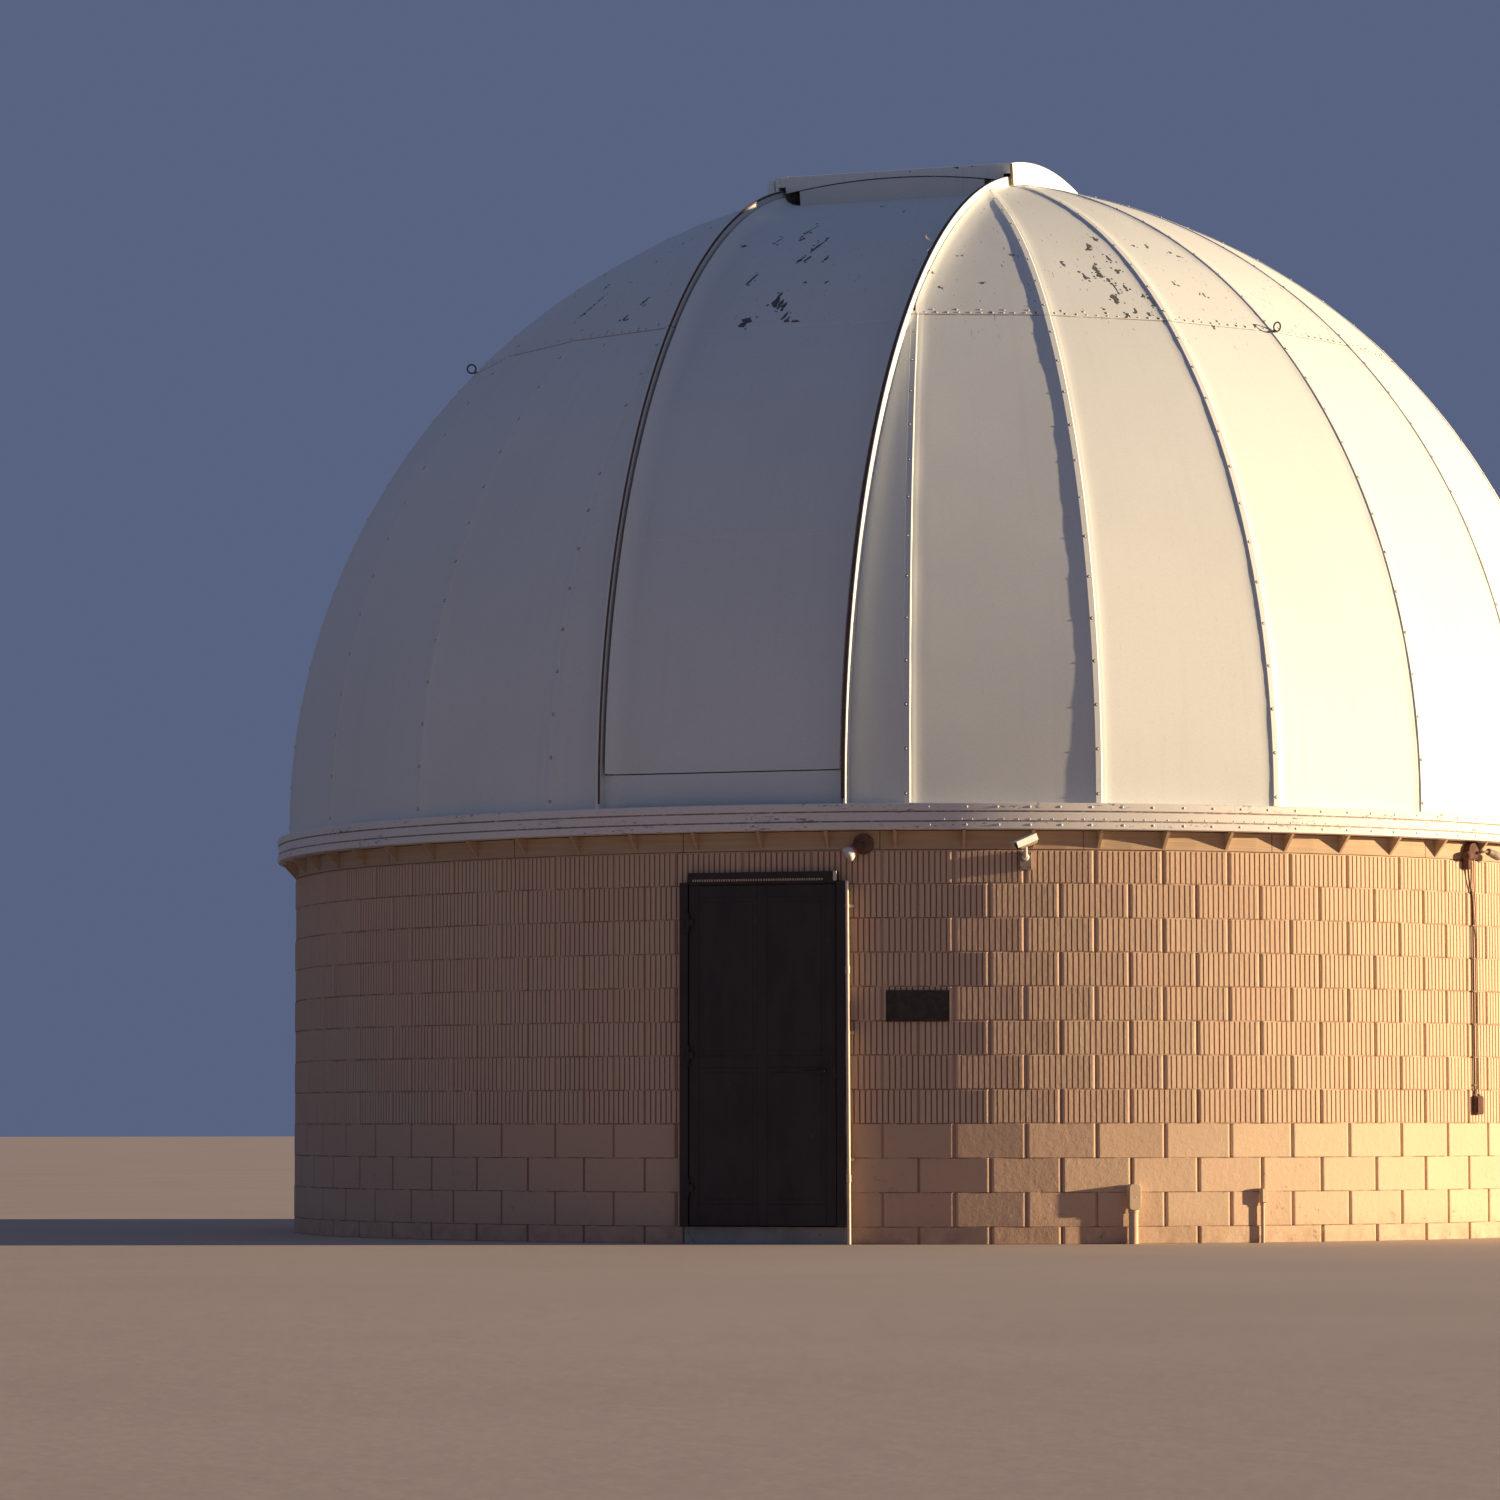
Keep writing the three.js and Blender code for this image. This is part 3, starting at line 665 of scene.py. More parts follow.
@dataclass(frozen=True)
class SheetPaint:
    """White paint gone chalky on sheet metal, with faint runs, small specks where it has come off, and
    painted light and shade where asked.
    """

    name: str
    paint: Triple = (0.775, 0.80, 0.765)
    run: Triple = (0.68, 0.685, 0.65)
    speck: Triple = (0.20, 0.17, 0.15)
    dirt_and_shade: Triple = (0.20, 0.115, 0.075)
    painted_edge_light: Triple = (0.95, 0.97, 0.92)
    specks: float = 1.0
    chips: float = 0.0
    dark_edge_across: float = 0.0
    shade_line_heights: tuple[float, ...] = ()
    shade_line_half: float = 0.0045
    painted_light_strip: Pair = (-0.62, -0.735)
    roughness: float = 0.52

    def build(self) -> bpy.types.Material:
        """Makes the finish.

        Returns:
            The material.
        """
        shader = Shader(self.name)
        place = shader.place()
        x, y, z = shader.parts(place)
        level = (x * x + y * y).root()
        east, north = x / level, y / level
        rise = shader.angle(z - DOME_CENTRE.z, level)
        runs = shader.noise(shader.vector(east * 60.0, north * 60.0, rise * 2.2), 1.0, 3.0, 0.6)
        cloud = shader.noise(place, 1.1, 3.0, 0.55)
        upper = rise.rise(math.radians(38), math.radians(47)) * 0.9 + 0.1
        fine = shader.noise(shader.vector(east * 190.0, north * 190.0, rise * 75.0), 1.0, 2.0, 0.5)
        ragged = shader.noise(shader.vector(east * 80.0, north * 80.0, rise * 42.0), 1.0, 6.0, 0.72)
        marks = fine.rise(0.700, 0.725) * cloud.rise(0.36, 0.5) * upper * self.specks
        flakes = ragged.rise(0.685, 0.70) * cloud.rise(0.44, 0.56) * upper * self.specks
        colour = shader.layers(
            shader.mix(cloud.rise(0.3, 0.7), shade(self.paint, 0.965), self.paint),
            (runs.rise(0.5, 0.8) * 0.3, self.run),
            (marks, self.speck),
            (flakes, self.speck),
        )
        height = cloud * 0.2 + shader.noise(place, 70.0, 2.0) * 0.05 - marks * 0.25 - flakes * 0.3
        if self.chips:
            flake = shader.noise(shader.vector(east * 95.0, north * 95.0, z * 70.0), 1.0, 5.0, 0.7)
            where = shader.noise(shader.vector(east * 7.0, north * 7.0, z * 16.0), 1.0, 2.0)
            lost = flake.rise(0.56, 0.60) * where.rise(0.50, 0.62) * self.chips
            colour = shader.mix(lost, colour, self.speck)
            height = height - lost * 0.5
        patchiness = shader.noise(place, 26.0, 4.0, 0.65)
        # By the slit: a lighter strip of painted light along the left edge, and a dark brown band of dirt and
        # painted shade along the right edge by the curb.
        if self.dark_edge_across:
            across = x * math.cos(SLIT_TURN) + y * math.sin(SLIT_TURN)
            edge = across.rise(self.dark_edge_across, self.dark_edge_across + 0.012)
            painted_edge_light = across.rise(*self.painted_light_strip) * 0.5
            dirt_and_shade = edge * patchiness.rise(0.2, 0.5) * 0.9
            colour = shader.layers(colour, (painted_edge_light, self.painted_edge_light), (dirt_and_shade, self.dirt_and_shade))
        # Dark lines at given heights: painted shade with dirt along a seam's edge and in grooves, broken up
        # by noise.
        for line_height in self.shade_line_heights:
            line = (z - line_height).size().rise(self.shade_line_half * 1.35, self.shade_line_half * 0.8)
            colour = shader.mix(line * patchiness.rise(0.2, 0.55) * 0.8, colour, self.dirt_and_shade)
        grain = shader.noise(place, 95.0, 4.0, 0.75)
        colour = shader.mix(grain.rise(0.36, 0.70) * 0.30, colour, shade(self.run, 0.86))
        height = height + grain * 0.12
        rough = self.roughness + runs * 0.12
        return shader.end(base_color=colour, roughness=rough, normal=shader.bump(height, 0.0012))


@dataclass(frozen=True)
class Mottled:
    """A plain finish with two tones, a third where it is worn or dirty, and a fine grain."""

    name: str
    light: Triple
    dark: Triple
    worn: Triple
    scale: float = 12.0
    wear: float = 0.66
    grain: float = 150.0
    grain_depth: float = 0.0004
    roughness: float = 0.6
    metallic: float = 0.0
    stretch: Triple = (1.0, 1.0, 1.0)

    def build(self) -> bpy.types.Material:
        """Makes the finish.

        Returns:
            The material.
        """
        shader = Shader(self.name)
        place = shader.place() * shader.vector(*self.stretch)
        cloud = shader.noise(place, self.scale, 4.0, 0.6)
        wear = shader.noise(place, self.scale * 2.3, 6.0, 0.7).rise(self.wear, self.wear + 0.05)
        grain = shader.noise(place, self.grain, 3.0, 0.6)
        colour = shader.mix(cloud.rise(0.3, 0.7), self.dark, self.light)
        colour = shader.mix(wear, colour, self.worn)
        rough = self.roughness + grain * 0.15 + wear * 0.1
        normal = shader.bump(grain - wear * 0.6, self.grain_depth)
        return shader.end(base_color=colour, roughness=rough, metallic=self.metallic, normal=normal)


@dataclass(frozen=True)
class PaintedPly:
    """Painted plywood bent round the building, with its grain and darker sheet joints."""

    name: str = "painted_ply"
    paint: Triple = (0.605, 0.45, 0.29)
    dark: Triple = (0.43, 0.29, 0.185)
    sheet_angle: float = 16.12
    first_joint: float = 0.29

    def build(self) -> bpy.types.Material:
        """Makes the finish.

        Returns:
            The material.
        """
        shader = Shader(self.name)
        place = shader.place()
        x, y, z = shader.parts(place)
        level = (x * x + y * y).root()
        east, north = x / level, y / level
        grain = shader.noise(shader.vector(east * 9.0, north * 9.0, z * 110.0), 1.0, 4.0, 0.6)
        blotch = shader.noise(place, 4.0, 4.0, 0.6)
        sheets = shader.angle(x, -1.0 * y) * (math.degrees(1.0) / self.sheet_angle) + self.first_joint
        line = sheets.fraction().rise(0.0045, 0.003)
        colour = shader.mix(grain.rise(0.3, 0.7) * 0.5 + blotch * 0.5, self.dark, self.paint)
        colour = shader.mix(line, colour, shade(self.dark, 0.3))
        return shader.end(base_color=colour, roughness=0.85, normal=shader.bump(grain - line * 2.0, 0.0012))


def make_finishes() -> None:
    """Makes every material of the part."""
    kinds = (
        BlockPaint(),
        Mortar(),
        PaintedPly(),
        # The skin's lap line and the ring's groove lines are painted shade with dirt; the shutter has a strip
        # of painted edge light and a band of dirt and painted shade.
        SheetPaint("skin_paint", shade_line_heights=(LAP_HEIGHT,), shade_line_half=0.0032),
        SheetPaint("shutter_paint", specks=0.6, dark_edge_across=0.724),
        SheetPaint("hood_paint", (0.86, 0.93, 0.92), specks=0.4),
        SheetPaint("ring_paint", (0.85, 0.80, 0.735), chips=0.9, specks=0.0, shade_line_heights=RING_GROOVES,
                   roughness=0.58),
        Mottled("bare_patch", (0.15, 0.13, 0.12), (0.085, 0.078, 0.08), (0.22, 0.17, 0.13),
                40.0, roughness=0.7),
        Mottled("seal_rubber", (0.15, 0.088, 0.058), (0.09, 0.054, 0.038), (0.21, 0.14, 0.10),
                18.0, roughness=0.75),
        Mottled("ochre_edge", (0.42, 0.30, 0.12), (0.33, 0.22, 0.09), (0.16, 0.09, 0.05),
                40.0, roughness=0.7),
        Mottled("bolt_paint", (0.84, 0.83, 0.79), (0.74, 0.71, 0.66), (0.26, 0.17, 0.11),
                60.0, 0.62),
        Mottled("rough_concrete", (0.46, 0.43, 0.39), (0.36, 0.335, 0.30), (0.27, 0.25, 0.22),
                5.0, 0.62, grain=90.0, grain_depth=0.002, roughness=0.9),
        Mottled("door_paint", (0.040, 0.027, 0.024), (0.026, 0.018, 0.016), (0.085, 0.055, 0.042),
                7.0, 0.66, grain=220.0, grain_depth=0.0003, roughness=0.55, stretch=(1.0, 1.0, 0.35)),
        Mottled("zinc", (0.62, 0.585, 0.53), (0.46, 0.43, 0.385), (0.30, 0.21, 0.15),
                30.0, 0.64, grain=200.0, grain_depth=0.0003, roughness=0.42, metallic=0.55),
        Mottled("tan_post_paint", (0.66, 0.50, 0.345), (0.59, 0.43, 0.29), (0.36, 0.24, 0.16),
                16.0, 0.64),
        Mottled("bronze_plate", (0.075, 0.055, 0.043), (0.04, 0.031, 0.027), (0.12, 0.095, 0.07),
                24.0, 0.6, roughness=0.5, metallic=0.4),
        Mottled("housing_plastic", (0.80, 0.775, 0.71), (0.72, 0.69, 0.62), (0.50, 0.45, 0.38),
                18.0, 0.68, roughness=0.45),
        Mottled("dark_fitting", (0.150, 0.068, 0.047), (0.105, 0.048, 0.034), (0.22, 0.12, 0.085),
                30.0, 0.62, roughness=0.85),
        # Real weathered metal on most fittings; on the camera's body it also stands for painted shade under
        # the sunshield.
        Mottled("weathered_case", (0.34, 0.265, 0.215), (0.22, 0.165, 0.13), (0.62, 0.56, 0.48),
                60.0, 0.60, roughness=0.6),
        Mottled("lamp_glass", (0.80, 0.77, 0.72), (0.70, 0.67, 0.62), (0.45, 0.40, 0.34),
                40.0, 0.70, roughness=0.18),
        Mottled("lens_black", (0.02, 0.02, 0.024), (0.012, 0.012, 0.014), (0.035, 0.03, 0.03),
                60.0, 0.7, roughness=0.12),
        Mottled("lamp_seal", (0.52, 0.15, 0.07), (0.36, 0.10, 0.05), (0.20, 0.07, 0.05),
                60.0, 0.66),
        Mottled("rusty_tab", (0.20, 0.105, 0.07), (0.12, 0.065, 0.045), (0.32, 0.21, 0.15),
                40.0, 0.7),
        Mottled("cream_conduit", (0.80, 0.65, 0.49), (0.70, 0.54, 0.39), (0.50, 0.34, 0.22),
                30.0, 0.64, roughness=0.4),
        Mottled("studio_floor", (0.56, 0.44, 0.355), (0.52, 0.41, 0.33), (0.50, 0.395, 0.32),
                0.35, 0.7, grain=6.0, grain_depth=0.002, roughness=0.9),
    )
    for kind in kinds:
        FINISHES[kind.name] = kind.build()
        LOG.info("finish %s", kind.name)


@dataclass
class Studio:
    """Pale floor, low warm light from the right, even blue light all round, and the camera."""

    floor_half: float = 260.0
    sun_azimuth: float = 91.3
    sun_elevation: float = 6.6
    sun_size: float = 0.9
    sun_strength: float = 8.9
    sun_colour: Triple = (1.0, 0.76, 0.485)
    sky_colour: Triple = (0.445, 0.575, 1.0)
    sky_strength: float = 0.218
    eye: Triple = (0.0, -35.7056, 0.7158)
    yaw: float = -0.0357
    pitch: float = 0.0704
    roll: float = -0.0012
    lens: float = 126.98

    def build(self) -> None:
        """Makes the floor, the lights and the camera."""
        self._camera()
        self._light()
        half = self.floor_half
        corners = [(x, y, -0.001) for x, y in ((-half, -half), (half, -half), (half, half), (-half, half))]
        mesh = bpy.data.meshes.new("studio_floor")
        mesh.from_pydata(corners, [], [(0, 1, 2, 3)])
        mesh.materials.append(FINISHES["studio_floor"])
        floor = bpy.data.objects.new("studio_floor", mesh)
        bpy.context.scene.collection.objects.link(floor)
        LOG.info("studio: floor, light and camera")

    def _camera(self) -> None:
        """Makes the camera from its place, direction and lens."""
        level = math.cos(self.pitch)
        forward = Vector((math.sin(self.yaw) * level, math.cos(self.yaw) * level, math.sin(self.pitch)))
        side = Vector((math.cos(self.yaw), -math.sin(self.yaw), 0.0))
        upright = side.cross(forward)
        right = side * math.cos(self.roll) + upright * math.sin(self.roll)
        top = upright * math.cos(self.roll) - side * math.sin(self.roll)
        turn = Matrix((right, top, -forward)).transposed().to_4x4()
        lens = bpy.data.cameras.new("photo_camera")
        lens.lens = self.lens
        lens.sensor_width = 36.0
        lens.clip_end = 1000.0
        camera = bpy.data.objects.new("photo_camera", lens)
        camera.matrix_world = Matrix.Translation(self.eye) @ turn
        bpy.context.scene.collection.objects.link(camera)
        bpy.context.scene.camera = camera

    def _light(self) -> None:
        """Makes the low warm light and the even light from all around."""
        lamp = bpy.data.lights.new("low_light", "SUN")
        lamp.energy = self.sun_strength
        lamp.angle = math.radians(self.sun_size)
        lamp.color = self.sun_colour
        light = bpy.data.objects.new("low_light", lamp)
        level = math.cos(math.radians(self.sun_elevation))
        towards = polar(level, self.sun_azimuth, math.sin(math.radians(self.sun_elevation)))
        light.rotation_euler = towards.to_track_quat("Z", "Y").to_euler()
        bpy.context.scene.collection.objects.link(light)
        world = bpy.data.worlds.new("surroundings")
        world.use_nodes = True
        ground = world.node_tree.nodes["Background"]
        ground.inputs["Color"].default_value = (*self.sky_colour, 1.0)
        ground.inputs["Strength"].default_value = self.sky_strength
        bpy.context.scene.world = world
        bpy.context.scene.view_settings.view_transform = "Standard"


@dataclass
class BlockWall:
    """Painted blocks in half bond: eight fluted courses over plain ones, the lowest half buried."""

    last_plain: int = 3
    top_course: int = 11
    face: float = 4.3215
    back: float = 4.3000
    width: float = 0.408
    arris: Pair = (0.0135, 0.0092)
    ridges: int = 12
    groove_half: float = 0.0049
    groove_floor: float = 0.0031
    groove_depth: float = 0.0074
    door_half: float = 0.514
    wall_top: float = 2.3292
    least_width: float = 0.03
    tighter: float = 0.0015
    fluted_edges: Triple = (0.0036, 0.0038, 0.0032)
    plain_edges: Triple = (0.0014, 0.0020, 0.0016)
    uneven: float = 0.0012
    twist: float = 0.22
    first_cut: float = -10.115
    segments: tuple[tuple[str, float], ...] = (
        ("blocks_front_right", 51.76),
        ("blocks_right", 108.01),
        ("blocks_rear_right", 169.885),
        ("blocks_rear_left", 226.135),
        ("blocks_left", 282.385),
        ("blocks_front_left", 349.885),
    )

    def outline(self, fluted: bool, low: float, high: float) -> list[Pair]:
        """Face of a block seen from above.

        Args:
            fluted: Whether the face has ridges.
            low: Left end across the block.
            high: Right end across the block.

        Returns:
            Pairs of across and depth behind the face, from left to right.
        """
        wide, deep = self.arris
        turns = [math.radians(30 * i) for i in range(4)]
        left = [(wide * (1.0 - math.cos(turn)), deep * (1.0 - math.sin(turn))) for turn in turns]
        left.append((wide + 0.003, 0.0))
        points = [(low + x, depth) for x, depth in left]
        if fluted:
            pitch = self.width / self.ridges
            for i in range(1, self.ridges):
                centre = -self.width / 2 + i * pitch
                if low + 0.027 < centre < high - 0.027:
                    points.extend([
                        (centre - self.groove_half, 0.0),
                        (centre - self.groove_floor, self.groove_depth),
                        (centre + self.groove_floor, self.groove_depth),
                        (centre + self.groove_half, 0.0),
                    ])
        points.extend((high - x, depth) for x, depth in reversed(left))
        return points

    def add_block(
        self, shape: Shape, centre: float, row: int, low: float, high: float, chance: random.Random
    ) -> None:
        """Adds one block to a shape.

        Args:
            shape: Takes the solids.
            centre: Azimuth of the block's middle.
            row: Course number, 0 for the buried one.
            low: Left end across the block.
            high: Right end across the block.
            chance: Source of the small differences between blocks.
        """
        fluted = row > self.last_plain
        gap, bevel, recess = self.fluted_edges if fluted else self.plain_edges
        if not fluted:
            low, high = low - self.tighter, high + self.tighter
        bottom = max(gap, (row - 0.5) * COURSE + gap)
        top = min((row + 0.5) * COURSE - gap, self.wall_top - chance.uniform(0.0, 0.003))
        reach = self.face + chance.uniform(-self.uneven, self.uneven)
        twist = math.radians(chance.uniform(-self.twist, self.twist))
        outward = polar(1.0, centre, 0.0)
        across = Vector((-outward.y, outward.x, 0.0))
        face = self.outline(fluted, low, high)
        flush = []
        for x, depth in face:
            rounded = min(x - low, high - x) < self.arris[0]
            flush.append((x, max(depth, recess) if rounded else recess))
        sections = []
        levels = (
            (bottom - gap + 0.0001, flush), (bottom, flush), (bottom + bevel, face), (top - bevel, face),
            (top, flush), (top + gap - 0.0001, flush),
        )
        for height, line in levels:
            loop = []
            for x, depth in line:
                loop.append(outward * (reach - depth + x * twist) + across * x + Vector((0, 0, height)))
            for x in (high, low):
                loop.append(outward * self.back + across * x + Vector((0, 0, height)))
            sections.append(loop)
        shape.loft(sections, hard_rows=(1, 2, 3, 4))

    def build(self) -> None:
        """Makes the faces in six segments, and dresses the wall behind them."""
        chance = random.Random(11)
        shapes = {name: Shape() for name, _ in self.segments}
        for row in range(self.top_course + 1):
            shift = 0.5 if row % 2 == 0 else 0.0
            for i in range(BLOCKS_AROUND):
                centre = FIRST_JOINT + (i + 0.5 + shift) * BLOCK_ANGLE
                low, high = self._clear_of_door(centre, row)
                if high - low < self.least_width:
                    continue
                turn = (centre - self.first_cut) % 360.0 + self.first_cut
                name = next((name for name, end in self.segments if turn < end), self.segments[0][0])
                self.add_block(shapes[name], centre, row, low, high, chance)
        for name, shape in shapes.items():
            shape.piece(name, Body.BUILDING, Slot.BLOCK, ["block_paint"], crease=68.0)
        for name in ("front_left", "front_right", "left", "right", "rear_left", "rear_right", "over_door"):
            dress(f"wall_{name}", "mortar")
        dress("floor_slab", "rough_concrete")

    def _clear_of_door(self, centre: float, row: int) -> Pair:
        """Ends of a block, cut back where it would run into the door's frame.

        Args:
            centre: Azimuth of the block's middle.
            row: Course number.

        Returns:
            Left and right end across the block, equal where nothing of it is left.
        """
        low, high = -self.width / 2, self.width / 2
        offset = (centre - DOOR_AZIMUTH + 180.0) % 360.0 - 180.0
        if row >= self.top_course or abs(offset) > 30.0:
            return low, high
        turn = math.radians(offset)
        middle = self.face * math.sin(turn)
        left_edge = (-self.door_half - middle) / math.cos(turn)
        right_edge = (self.door_half - middle) / math.cos(turn)
        if high <= left_edge or low >= right_edge:
            return low, high
        if low < left_edge:
            return low, left_edge
        if high > right_edge:
            return right_edge, high
        return 0.0, 0.0


@dataclass
class EaveBand:
    """Plywood band on the wall with its gussets, kept from the model."""

    def build(self) -> None:
        """Dresses the four quarters."""
        for name in ("front", "left", "rear", "right"):
            dress(f"eave_band_{name}", "painted_ply")


@dataclass
class BaseRing:
    """Ring that carries the dome: an angle section whose face has three strips and two rows of rivets."""

    face: float = 4.4440
    middle_face: float = 4.4405
    back: float = 4.335
    flange_back: float = 4.165
    bottom: float = 2.451
    top: float = 2.606
    flange_top: float = 2.471
    grooves: Pair = RING_GROOVES
    groove_half: float = 0.0032
    groove_depth: float = 0.0075
    rivet_rows: Pair = (2.475, 2.582)
    rivet_pitch: float = 2.43
    first_rivet: float = -0.34
    small_rivet_height: float = 2.509
    splices: Pair = (-3.0, 42.0)
    splice_screws: Profile = ((-0.22, 2.568), (0.0, 2.592), (0.2, 2.536), (0.3, 2.522))

    def outline(self) -> list[Pair]:
        """Section of the ring.

        Returns:
            Pairs of radius and height.
        """
        low, high = self.grooves
        half, deep = self.groove_half, self.groove_depth
        face, middle = self.face, self.middle_face
        return [
            (self.flange_back, self.bottom), (face - 0.002, self.bottom), (face, self.bottom + 0.002),
            (face, low - half - 0.001), (face - 0.001, low - half), (face - deep, low - half * 0.6),
            (face - deep, low + half * 0.6), (middle, low + half), (middle, high - half),
            (face - deep, high - half * 0.6), (face - deep, high + half * 0.6), (face - 0.001, high + half),
            (face, high + half + 0.001), (face, self.top - 0.004), (face - 0.004, self.top),
            (self.back, self.top), (self.back, self.flange_top), (self.flange_back, self.flange_top),
        ]

    def build(self) -> None:
        """Makes the four quarters."""
        section = self.outline()
        chance = random.Random(17)
        for quarter, name in enumerate(("front_right", "rear_right", "rear_left", "front_left")):
            shape = Shape()
            start = 90.0 * quarter
            azimuths = steps(start + 0.004, start + 89.996, 72)
            shape.loft([[polar(r, azimuth, z) for r, z in section] for azimuth in azimuths])
            passed = math.ceil((start - self.first_rivet) / self.rivet_pitch)
            azimuth = self.first_rivet + passed * self.rivet_pitch
            while azimuth < start + 90.0:
                for height in self.rivet_rows:
                    spot = polar(self.face, azimuth + chance.uniform(-0.08, 0.08), height)
                    shape.stud(spot, polar(1.0, azimuth, 0.0), 0.0078, 0.0044, 10, 1)
                azimuth += self.rivet_pitch
            azimuth = start + 0.4
            while azimuth < start + 89.7:
                height = self.small_rivet_height + chance.uniform(-0.001, 0.001)
                spot = polar(self.middle_face, azimuth, height)
                shape.stud(spot, polar(1.0, azimuth, 0.0), 0.0048, 0.0026, 8, 1)
                azimuth += chance.uniform(0.8, 1.35)
            self._splices(shape, start)
            finishes = ["ring_paint", "bolt_paint"]
            shape.piece(f"ring_strips_{name}", Body.DOME, Slot.RING, finishes, [f"base_ring_{name}"])

    def _splices(self, shape: Shape, start: float) -> None:
        """Adds the screws of the splices between lengths of the middle strip.

        Args:
            shape: Takes the solids.
            start: Azimuth where the quarter starts.
        """
        for splice in self.splices:
            azimuth = (start + splice) % 360.0
            if not start <= azimuth < start + 90.0:
                continue
            for turn, height in self.splice_screws:
                spot = polar(self.middle_face, azimuth + turn, height)
                shape.stud(spot, polar(1.0, azimuth, 0.0), 0.0045, 0.0052, 6, 1)


@dataclass(frozen=True)
class Patch:
    """A place where the paint has come off, long along the dome's curve.

    On the skin, first and second are the azimuth and the elevation in degrees. On the lower shutter they
    are the metres across from its middle and the angle up the slit in degrees.
    """

    first: float
    second: float
    length: float
    width: float
    lean: float = 0.0


def patch_table(unit: int, rows: Iterable[tuple[float, ...]]) -> tuple[Patch, ...]:
    """Makes patches from rows of numbers.

    Args:
        unit: What the first number of each row is divided by.
        rows: First and second place, length and width in millimetres, lean in degrees.

    Returns:
        The patches.
    """
    return tuple(Patch(a / unit, b, long / 1000, wide / 1000, lean) for a, b, long, wide, lean in rows)


SKIN_PATCHES = patch_table(1, (
    (34.7, 52, 70, 12, 8), (42.7, 57.1, 60, 18, 8), (40.6, 55.6, 75, 20, -6), (40.2, 54.9, 30, 34, 0),
    (42.3, 53.4, 80, 14, 8), (39.2, 51.3, 110, 28, 5), (39.3, 50.4, 60, 34, -8), (37, 50.1, 75, 18, 6),
    (40.1, 49.7, 50, 14, 4), (42.2, 51.2, 55, 26, 0), (40.4, 48.5, 130, 6, 5), (41.8, 48.6, 75, 14, 5),
    (39.5, 46.9, 100, 36, 4), (44.3, 46.7, 110, 10, 8), (43.6, 47.6, 40, 14, 0), (41.4, 45.3, 55, 14, 0),
    (40.2, 44.6, 45, 18, -5), (42.9, 45, 30, 20, 0), (37.4, 45.3, 20, 16, 0), (51.8, 56.7, 46, 14, 4),
    (49, 56.4, 30, 14, 0), (55.3, 55.8, 30, 20, 0), (56, 55.2, 24, 14, 0), (60.1, 56.4, 100, 7, 6),
    (53.6, 48.6, 50, 10, -6), (50, 50, 50, 9, 6), (51.2, 43.8, 30, 12, 0), (15.9, 53.6, 28, 12, 0),
    (17.8, 47.9, 22, 12, 0), (23.2, 48.6, 26, 12, 0), (27.8, 53.3, 24, 10, 0), (20.3, 53, 14, 10, 0),
    (16.3, 52.4, 40, 13, -8), (16.9, 49.9, 24, 11, 0), (336.8, 48.8, 90, 12, -6), (335.8, 46.5, 60, 14, -8),
    (325.3, 49.3, 240, 5, -7), (322, 53, 60, 10, -5),
))
SHUTTER_PATCHES = patch_table(1000, (
    (-331, 44, 110, 60, -26), (-175, 40.9, 175, 36, -3), (-142, 41.6, 110, 22, -8), (-112, 42, 100, 22, -10),
    (-78, 43.4, 90, 16, -16), (-52, 44, 60, 16, -20), (12, 44.3, 24, 36, 0), (-253, 26.6, 200, 7, -14),
    (-263, 29, 60, 13, -14), (-113, 31.2, 170, 16, -13), (-90, 30.2, 160, 6, -12), (-161, 33.8, 85, 19, -18),
    (-118, 33.7, 85, 18, -18), (13, 33.8, 70, 12, -4), (-418, 36.9, 120, 16, -16), (-434, 37.6, 60, 14, -16),
    (-636, 29.9, 36, 30, 0), (-420, 28.9, 120, 6, -14), (-40, 38.2, 26, 12, 0), (100, 38.4, 26, 12, 0),
    (280, 22, 40, 10, 0), (50, 18.6, 40, 10, 0),
))


def patch_outline(patch: Patch, chance: random.Random) -> list[Pair]:
    """Ragged outline of a patch.

    Args:
        patch: Its size and lean.
        chance: Source of the ragged edge.

    Returns:
        Pairs of across and along, in metres from the patch's middle.
    """
    lean = math.radians(patch.lean)
    phase = chance.uniform(0.0, 6.0)
    points = []
    for turn in circle(30):
        ragged = chance.uniform(0.55, 1.0) + 0.28 * math.sin(3.0 * turn + phase)
        ragged += 0.16 * math.sin(5.0 * turn - phase)
        along = 0.5 * patch.length * math.sin(turn) * (0.85 + 0.2 * ragged)
        across = 0.5 * patch.width * math.cos(turn) * ragged * (1.3 - 0.5 * math.sin(turn))
        points.append((
            across * math.cos(lean) - along * math.sin(lean),
            across * math.sin(lean) + along * math.cos(lean),
        ))
    return points


def crumbs(patch: Patch, first_step: float, second_step: float, chance: random.Random) -> list[Patch]:
    """Small bare spots round a larger one.

    Args:
        patch: The larger one.
        first_step: Change of the patch's first place for each metre across.
        second_step: Change of its second place for each metre along.
        chance: Source of their places and sizes.

    Returns:
        The small patches.
    """
    found = []
    for _ in range(round(patch.length / 0.016)):
        along = chance.uniform(-0.75, 0.75) * patch.length
        across = chance.uniform(-1.6, 1.6) * max(patch.width, 0.022)
        length = chance.uniform(0.008, 0.022)
        width = length * chance.uniform(0.35, 0.8)
        spot = (patch.first + across * first_step, patch.second + along * second_step)
        found.append(Patch(*spot, length, width, patch.lean + chance.uniform(-20.0, 20.0)))
    return found


